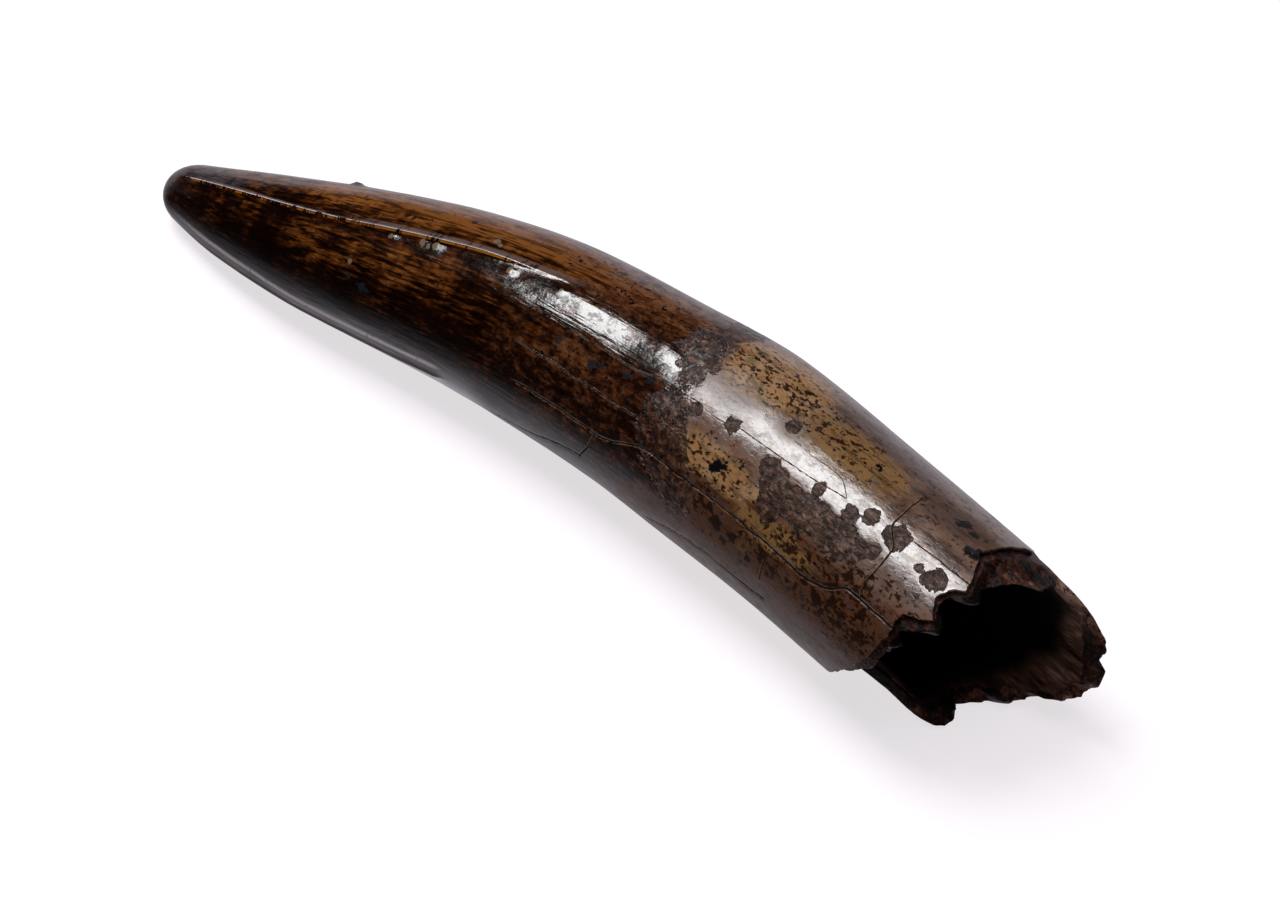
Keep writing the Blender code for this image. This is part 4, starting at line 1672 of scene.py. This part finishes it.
@dataclass(frozen=True)
class KeelFinish:
    """Painted light along the keels: a pale crest painted as a highlight, a painted amber glow
    under it, a painted reflection on the far facet and a painted highlight streak by the lower
    keel.
    """

    # Painted highlight along the upper keel's crest.
    crest: Colour = (0.42, 0.37, 0.35)
    # Painted amber glow, as of light through the enamel ridge.
    glow: Colour = (0.26, 0.078, 0.006)
    # Painted pinkish reflection on the far facet beside the crest.
    facet_reflection: Colour = (0.120, 0.082, 0.072)
    # Painted highlight streak along the lower keel.
    streak_highlight: Colour = (0.330, 0.280, 0.290)
    below: Colour = (0.022, 0.0125, 0.0100)
    patchy: Cloud = Cloud((2.2, 0.6, 0.6), 3.0, 0.7, 0.0, 41.0)
    # Distances off the crest in millimetres, and how thickly each mark covers.
    facet_start: Span = (-0.42, -0.3)
    facet_end: Span = (0.0, -0.06)
    facet_share: float = 0.6
    glow_off: float = 0.085
    glow_edge: Span = (0.055, 0.02)
    glow_share: float = 0.9
    crest_edge: Span = (0.032, 0.006)
    strip: Span = (-0.66, -0.58)
    strip_share: float = 0.85
    streak_off: float = 0.76
    streak_edge: Span = (0.24, 0.03)
    streak_share: float = 0.85
    # Strength of the keel at which its marks begin, and where they run along the tooth.
    full_on: Span = (0.0, 0.3)
    middle_start: Span = (27.0, 30.0)
    middle_end: Span = (43.0, 38.0)
    steady_start: Span = (30.0, 34.0)
    steady_end: Span = (45.0, 41.0)
    # Where the noise breaks each painted mark into gaps.
    facet_gaps: Span = (0.36, 0.5)
    glow_gaps: Span = (0.48, 0.58)
    glow_steady: float = 0.08
    crest_gaps: Span = (0.36, 0.46)
    streak_gaps: Span = (0.26, 0.44)

    def over(self, graph: Graph, shade: bpy.types.NodeSocket,
             along: Term) -> bpy.types.NodeSocket:
        """Lays both keels' painted highlights, glow and reflection over a colour.

        Args:
            graph: The material's nodes.
            shade: The colour under them.
            along: Place along the tooth.

        Returns:
            A colour socket.
        """
        patchy = graph.noise(self.patchy)
        off, on, _ = graph.triple("upper_keel")
        on = on.between(*self.full_on)
        middle = along.between(*self.middle_start) * along.between(*self.middle_end)
        # Painted reflection on the far facet.
        facet_reflection = off.between(*self.facet_start) * off.between(*self.facet_end) * middle
        facet_reflection = facet_reflection * patchy.between(*self.facet_gaps) * self.facet_share
        shade = graph.mix(facet_reflection, shade, self.facet_reflection)
        steady = along.between(*self.steady_end) * along.between(*self.steady_start)
        # Painted glow just under the crest.
        glow = abs(off - self.glow_off).between(*self.glow_edge) * on
        kept = (patchy + steady * self.glow_steady).between(*self.glow_gaps)
        glow = glow * kept * self.glow_share
        shade = graph.mix(glow, shade, self.glow)
        # Painted highlight on the crest.
        crest = abs(off).between(*self.crest_edge) * on * along.between(*self.middle_start)
        shade = graph.mix(crest * patchy.between(*self.crest_gaps), shade, self.crest)
        off, on, _ = graph.triple("lower_keel")
        strip = off.between(*self.strip) * on
        shade = graph.mix(strip * self.strip_share, shade, self.below)
        # Painted highlight streak beside the lower keel.
        streak_highlight = abs(off + self.streak_off).between(*self.streak_edge) * on
        streak_highlight = streak_highlight * patchy.between(*self.streak_gaps) * self.streak_share
        return graph.mix(streak_highlight, shade, self.streak_highlight)


@dataclass(frozen=True)
class Covers:
    """How far each coat covers the tooth at each point, from 0 to 1."""

    crown: Term
    band: Term
    crust: Term
    cracks: Term
    broken: Term
    inner: Term


@dataclass(frozen=True)
class ToothFinish:
    """The whole tooth's finish, layer over layer."""

    crown: CrownFinish = CrownFinish()
    root: RootFinish = RootFinish()
    crust: CrustFinish = CrustFinish()
    band: BandFinish = BandFinish()
    broken: BreakFinish = BreakFinish()
    keels: KeelFinish = KeelFinish()
    ink: Colour = (0.0030, 0.0028, 0.0032)
    crack: Colour = (0.0035, 0.0018, 0.0014)
    # Pale lip beside the cracks: partly the lip's own colour, partly a painted highlight where
    # the edge catches the light.
    lip: Colour = (0.190, 0.110, 0.066)
    matte_shine: float = 0.08
    index: float = 1.58
    # Noises
    border: Cloud = Cloud((1.2, 1.4, 1.4), 4.0, 0.7, 0.6, 17.0)
    uneven: Cloud = Cloud((3.6, 4.2, 4.2), 3.0, 0.65, 0.0, 19.0)
    smears: Cloud = Cloud((1.2, 1.9, 1.9), 4.0, 0.75, 0.0, 51.0)
    wrinkles: Cloud = Cloud((1.8, 3.0, 3.0), 3.0, 0.65, 0.0, 61.0)
    lumps: Cloud = Cloud((3.2, 3.8, 3.8), 4.0, 0.75, 0.0, 69.0)
    fibres: Cloud = Cloud((0.6, 4.8, 4.8), 3.0, 0.65, 0.0, 73.0)
    # Where each coat begins, in its own field's measure, and how thickly it covers.
    break_edge: Span = (0.35, 0.65)
    inner_edge: Span = (1.2, 1.8)
    crown_edge: Span = (-0.1, 0.7)
    crown_wander: float = 5.0
    crust_edge: Span = (-0.02, 0.02)
    crust_share: float = 0.96
    band_edge: Span = (-0.05, 0.08)
    band_wander: float = 2.4
    band_share: float = 0.92
    ink_edge: Span = (-0.02, 0.02)
    # Cracks, in millimetres
    crack_edge: Span = (0.03, -0.005)
    crack_fray: float = 0.10
    crack_share: float = 0.94
    crack_roughness: float = 0.8
    lip_off: float = 0.035
    lip_edge: Span = (0.05, 0.015)
    lip_gaps: Span = (0.46, 0.58)
    lip_more: float = 0.06
    lip_highlight_share: float = 0.38
    # Worn places and glints
    worn_edge: Span = (0.52, 0.42)
    glint_edge: Span = (0.51, 0.57)
    least_roughness: float = 0.07
    # Fine relief, in millimetres
    wrinkle_height: float = 0.009
    root_wrinkle_height: float = 0.006
    striae_height: float = 0.014
    net_height: float = 0.0015
    net_slope: Span = (0.0, 0.05)
    crust_height: float = 0.09
    crack_height: float = 0.04
    break_height: float = 0.13
    fibre_height: float = 0.03
    wall_fibre_height: float = 0.04
    # How ragged the coats' outlines are.
    crust_fray: float = 0.30
    crust_wander: float = 0.5
    ink_fray: float = 0.9
    ink_middle: float = 0.46
    # How much gloss each coat loses, and how much of that its glints give back.
    worn_dull: float = 0.5
    crown_dull: float = 0.15
    crust_dull: float = 0.97
    crust_glint: float = 0.3
    band_dull: float = 0.88
    band_glint: float = 0.8
    root_dull: float = 0.45
    break_dull: float = 0.85
    # What the smears, dull places and flank add to the skin's roughness.
    smear_rough: float = 0.16
    root_smear_rough: float = 0.22
    dull_rough: float = 0.25
    flank_rough: float = 0.30

    def crack_cover(self, graph: Graph, uneven: Term) -> tuple[Term, Term]:
        """How far each point lies in a crack, and beside one.

        Args:
            graph: The material's nodes.
            uneven: Fine noise that frays the cracks.

        Returns:
            Cover of the cracks and of their pale lower lips, partly a painted highlight on the
            lit edge.
        """
        inside, beside = None, None
        for crack in CRACKS:
            off, past, half = graph.triple(crack.name)
            gap = (off * off + past * past) ** 0.5 - half + uneven.swing(self.crack_fray)
            cover = gap.between(*self.crack_edge)
            lip = (abs(off - half - self.lip_off) + past).between(*self.lip_edge)
            inside = cover if inside is None else inside.most(cover)
            beside = lip if beside is None else beside.most(lip)
        return inside, beside * (uneven + self.lip_more).between(*self.lip_gaps)

    def make(self) -> bpy.types.Material:
        """Builds the material.

        Returns:
            The material, reading the fields that the tooth stores on its mesh.
        """
        graph = Coat("fossil_enamel")
        along = graph.triple("straight")[0]
        layer = graph.field("layer")
        broken = layer.between(*self.break_edge)
        inner = layer.between(*self.inner_edge)
        border = graph.noise(self.border)
        uneven = graph.noise(self.uneven)
        crown = (graph.field("seat") + border.swing(self.crown_wander)).between(*self.crown_edge)
        crust = (graph.field("crust") + uneven.swing(self.crust_fray)
                 + border.swing(self.crust_wander))
        in_crust = crust.between(*self.crust_edge)
        band = graph.field("band") + border.swing(self.band_wander)
        in_band = band.between(*self.band_edge)
        cracks, lips = self.crack_cover(graph, uneven)
        ink = graph.field("ink") + (uneven - self.ink_middle) * self.ink_fray
        in_ink = ink.between(*self.ink_edge)
        on = Covers(crown, in_band, in_crust, cracks, broken, inner)

        shade = graph.mix(crown, self.root.colour(graph),
                          self.crown.colour(graph, along, uneven))
        shade = graph.mix(in_band * self.band_share, shade, self.band.colour(graph))
        shade = graph.mix(in_crust * self.crust_share, shade, self.crust.colour(graph, crust))
        shade = graph.mix(in_ink, shade, self.ink)
        # The keels' painted highlights, glow and reflection.
        shade = self.keels.over(graph, shade, along)
        # Pale lips: partly painted highlight on the cracks' lit edge.
        shade = graph.mix(lips * self.lip_highlight_share, shade, self.lip)
        shade = graph.mix(cracks * self.crack_share, shade, self.crack)
        shade = graph.mix(broken, shade, self.broken.colour(graph, inner))

        smears = graph.noise(self.smears)
        rough = self.roughness(graph, smears, on)
        height = self.height(graph, on)
        bump = graph.node("ShaderNodeBump", {},
                          {"Strength": 1.0, "Distance": MM, "Height": height})
        surface = {"Base Color": shade, "Roughness": rough, "Normal": bump.outputs[0]}
        for name, value in surface.items():
            graph.feed(graph.shader.inputs[name], value)
        graph.feed(graph.shader.inputs["IOR"], self.index)
        matte = graph.node("ShaderNodeBsdfPrincipled", {},
                           {**surface, "Specular IOR Level": self.matte_shine})
        dull = self.dullness(graph, smears, uneven, on)
        both = graph.node("ShaderNodeMixShader", {},
                          {0: dull, 1: graph.shader.outputs[0], 2: matte.outputs[0]})
        graph.feed(graph.tree.nodes["Material Output"].inputs["Surface"], both.outputs[0])
        return graph.material

    def dullness(self, graph: Graph, smears: Term, uneven: Term, on: Covers) -> Term:
        """How much of the gloss is lost at each point.

        Args:
            graph: The material's nodes.
            smears: Broad noise that wears the skin.
            uneven: Fine noise that leaves glints.
            on: What covers each point.

        Returns:
            1 where the tooth is matte and 0 where it keeps its gloss.
        """
        lit = 1 - graph.field("shade")
        patchy = (smears.between(*self.worn_edge) * lit
                * (self.worn_dull + on.crown * self.crown_dull))
        glint = uneven.between(*self.glint_edge)
        dull = patchy.most(on.crust * (self.crust_dull - glint * self.crust_glint))
        dull = dull.most(on.band * (self.band_dull - glint * self.band_glint))
        dull = dull.most(graph.field("dull") * (1 - on.crown) * self.root_dull)
        return dull.most(on.cracks).most(on.broken * self.break_dull).most(on.inner)

    def roughness(self, graph: Graph, smears: Term, on: Covers) -> Term:
        """Roughness over the whole tooth.

        Args:
            graph: The material's nodes.
            smears: Broad noise that smears the gloss.
            on: What covers each point.

        Returns:
            The roughness.
        """
        rooty = 1 - on.crown
        skin = (self.crown.roughness + rooty * (self.root.roughness - self.crown.roughness)
                + (smears - MIDDLE_NOISE) * (self.smear_rough + rooty * self.root_smear_rough)
                + graph.field("dull") * self.dull_rough * rooty
                + graph.field("flank") * self.flank_rough)
        skin = skin + on.band * (self.band.roughness - skin)
        skin = skin + on.crust * (self.crust.roughness - skin)
        skin = skin + on.cracks * (self.crack_roughness - skin)
        skin = skin + on.broken * (self.broken.roughness - skin)
        return skin.most(self.least_roughness)

    def height(self, graph: Graph, on: Covers) -> Term:
        """Fine height, for what is too small for the mesh.

        Args:
            graph: The material's nodes.
            on: What covers each point.

        Returns:
            The height in millimetres.
        """
        striae = graph.noise(self.crown.lines)
        wrinkles = graph.noise(self.wrinkles)
        lumps = graph.noise(self.lumps)
        fibres = graph.noise(self.fibres)
        net = graph.net(self.root.meshes).between(*self.net_slope)
        rooty = 1 - on.crown
        skin = (wrinkles * (self.wrinkle_height + rooty * self.root_wrinkle_height)
                + on.crown * striae * self.striae_height + rooty * net * self.net_height)
        total = (skin + on.band * lumps * self.crust_height
                 + on.crust * lumps * self.crust_height - on.cracks * self.crack_height)
        rough_break = (lumps * self.break_height * (1 - on.inner)
                       + fibres * (self.fibre_height + on.inner * self.wall_fibre_height))
        return total * (1 - on.broken) + rough_break * on.broken


# ---------------------------------------------------------------------------------------------
# Studio
# ---------------------------------------------------------------------------------------------


@dataclass
class Studio:
    """Pale floor, soft light and the camera."""

    aim: Span = (-13.03, -0.574)
    azimuth: float = 51.0
    elevation: float = 45.0
    lens: float = 130.0
    sensor: float = 36.0
    clip: Span = (0.01, 20.0)
    distance: float = 0.22187
    floor_size: float = 3.0
    floor_colour: Colour = (0.28, 0.27, 0.28)
    floor_glow: Colour = (1.0, 0.965, 0.99)
    floor_glow_strength: float = 0.72
    room_colour: Colour = (0.95, 0.93, 1.02)
    overhead: float = 2.5
    overhead_edge: Span = (0.90, 0.94)
    wall_seen: float = 0.55
    wall_sides: Span = (0.35, 0.85)
    wall_top: Span = (0.24, 0.0)
    floor_seen: Stops = (
        (0.0, (1.0,) * 3), (0.067, (0.8,) * 3), (0.117, (0.5,) * 3), (0.206, (0.18,) * 3),
        (0.33, (0.025,) * 3), (0.47, (0.0,) * 3))
    key_direction: Triple = (-0.457, -0.065, 0.887)
    key_gap: float = 0.5
    key_size: Span = (0.240, 0.222)
    key_radiance: float = 16.8

    def target(self) -> Vector:
        """The point on the floor that the camera looks at."""
        return Vector((*self.aim, 0.0)) * MM

    def away(self, azimuth: float, elevation: float) -> Vector:
        a, e = math.radians(azimuth), math.radians(elevation)
        return Vector((math.sin(a) * math.cos(e), -math.cos(a) * math.cos(e), math.sin(e)))

    def build_camera(self) -> None:
        """Places the camera."""
        data = bpy.data.cameras.new("camera")
        data.lens = self.lens
        data.sensor_width = self.sensor
        data.clip_start, data.clip_end = self.clip
        camera = bpy.data.objects.new("camera", data)
        back = self.away(self.azimuth, self.elevation)
        camera.location = self.target() + back * self.distance
        camera.rotation_mode = "QUATERNION"
        camera.rotation_quaternion = (-back).to_track_quat("-Z", "Y")
        bpy.context.scene.collection.objects.link(camera)
        bpy.context.scene.camera = camera

    def build_floor(self) -> None:
        """Lays the plain pale floor."""
        half = self.floor_size / 2
        mesh = bpy.data.meshes.new("floor")
        corners = [(-half, -half, 0), (half, -half, 0), (half, half, 0), (-half, half, 0)]
        mesh.from_pydata(corners, [], [(0, 1, 2, 3)])
        floor = bpy.data.objects.new("floor", mesh)
        graph = Coat("pale_floor")
        graph.feed(graph.shader.inputs["Base Color"], self.floor_colour)
        graph.feed(graph.shader.inputs["Emission Color"], self.floor_glow)
        graph.feed(graph.shader.inputs["Emission Strength"], self.floor_glow_strength)
        graph.feed(graph.shader.inputs["Roughness"], 1.0)
        graph.feed(graph.shader.inputs["Specular IOR Level"], 0.0)
        mesh.materials.append(graph.material)
        bpy.context.scene.collection.objects.link(floor)
        floor.visible_glossy = False

    def build_room(self) -> None:
        """Makes the dark room, with its pale lower part and its overhead light."""
        world = bpy.data.worlds.new("room")
        world.use_nodes = True
        graph = Graph(world.node_tree)
        heading = graph.node("ShaderNodeTexCoord", {}, {}).outputs["Generated"]
        height = Term(graph, graph.node("ShaderNodeSeparateXYZ", {}, {0: heading}).outputs[2])
        behind = Term(graph, graph.node(
            "ShaderNodeVectorMath", {"operation": "DOT_PRODUCT"},
            {0: heading, 1: self.away(self.azimuth + 180.0, 0.0)}).outputs["Value"])
        lower = Term(graph, graph.ramp((height + 1.0) * 0.5, self.floor_seen))
        wall = behind.between(*self.wall_sides) * height.between(*self.wall_top) * self.wall_seen
        overhead = height.between(*self.overhead_edge) * self.overhead
        background = world.node_tree.nodes["Background"]
        graph.feed(background.inputs["Color"], self.room_colour)
        graph.feed(background.inputs["Strength"], lower.most(wall) + overhead)
        bpy.context.scene.world = world

    def build_key(self) -> None:
        """Hangs the soft rectangular key light, facing the tooth."""
        direction = Vector(self.key_direction).normalized()
        data = bpy.data.lights.new("key", "AREA")
        data.shape = "RECTANGLE"
        width, height = self.key_size
        data.size, data.size_y = width, height
        data.energy = self.key_radiance * math.pi * width * height
        light = bpy.data.objects.new("key", data)
        light.location = self.target() + direction * self.key_gap
        light.rotation_mode = "QUATERNION"
        light.rotation_quaternion = (-direction).to_track_quat("-Z", "Y")
        bpy.context.scene.collection.objects.link(light)

    def build(self) -> None:
        """Builds the whole studio."""
        self.build_camera()
        self.build_floor()
        self.build_room()
        self.build_key()
        bpy.context.scene.view_settings.view_transform = "Standard"


def main() -> None:
    """Builds the studio and the tooth, and ties the tooth to its solid."""
    logging.basicConfig(level=logging.INFO, format="%(name)s: %(message)s")
    Studio().build()
    LOG.info("studio built")
    tooth = FossilTooth().build()
    tooth.data.materials.append(ToothFinish().make())
    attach(tooth, "root")
    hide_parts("tooth")
    LOG.info("%s: %d faces", tooth.name, len(tooth.data.polygons))


if __name__ == "__main__":
    main()
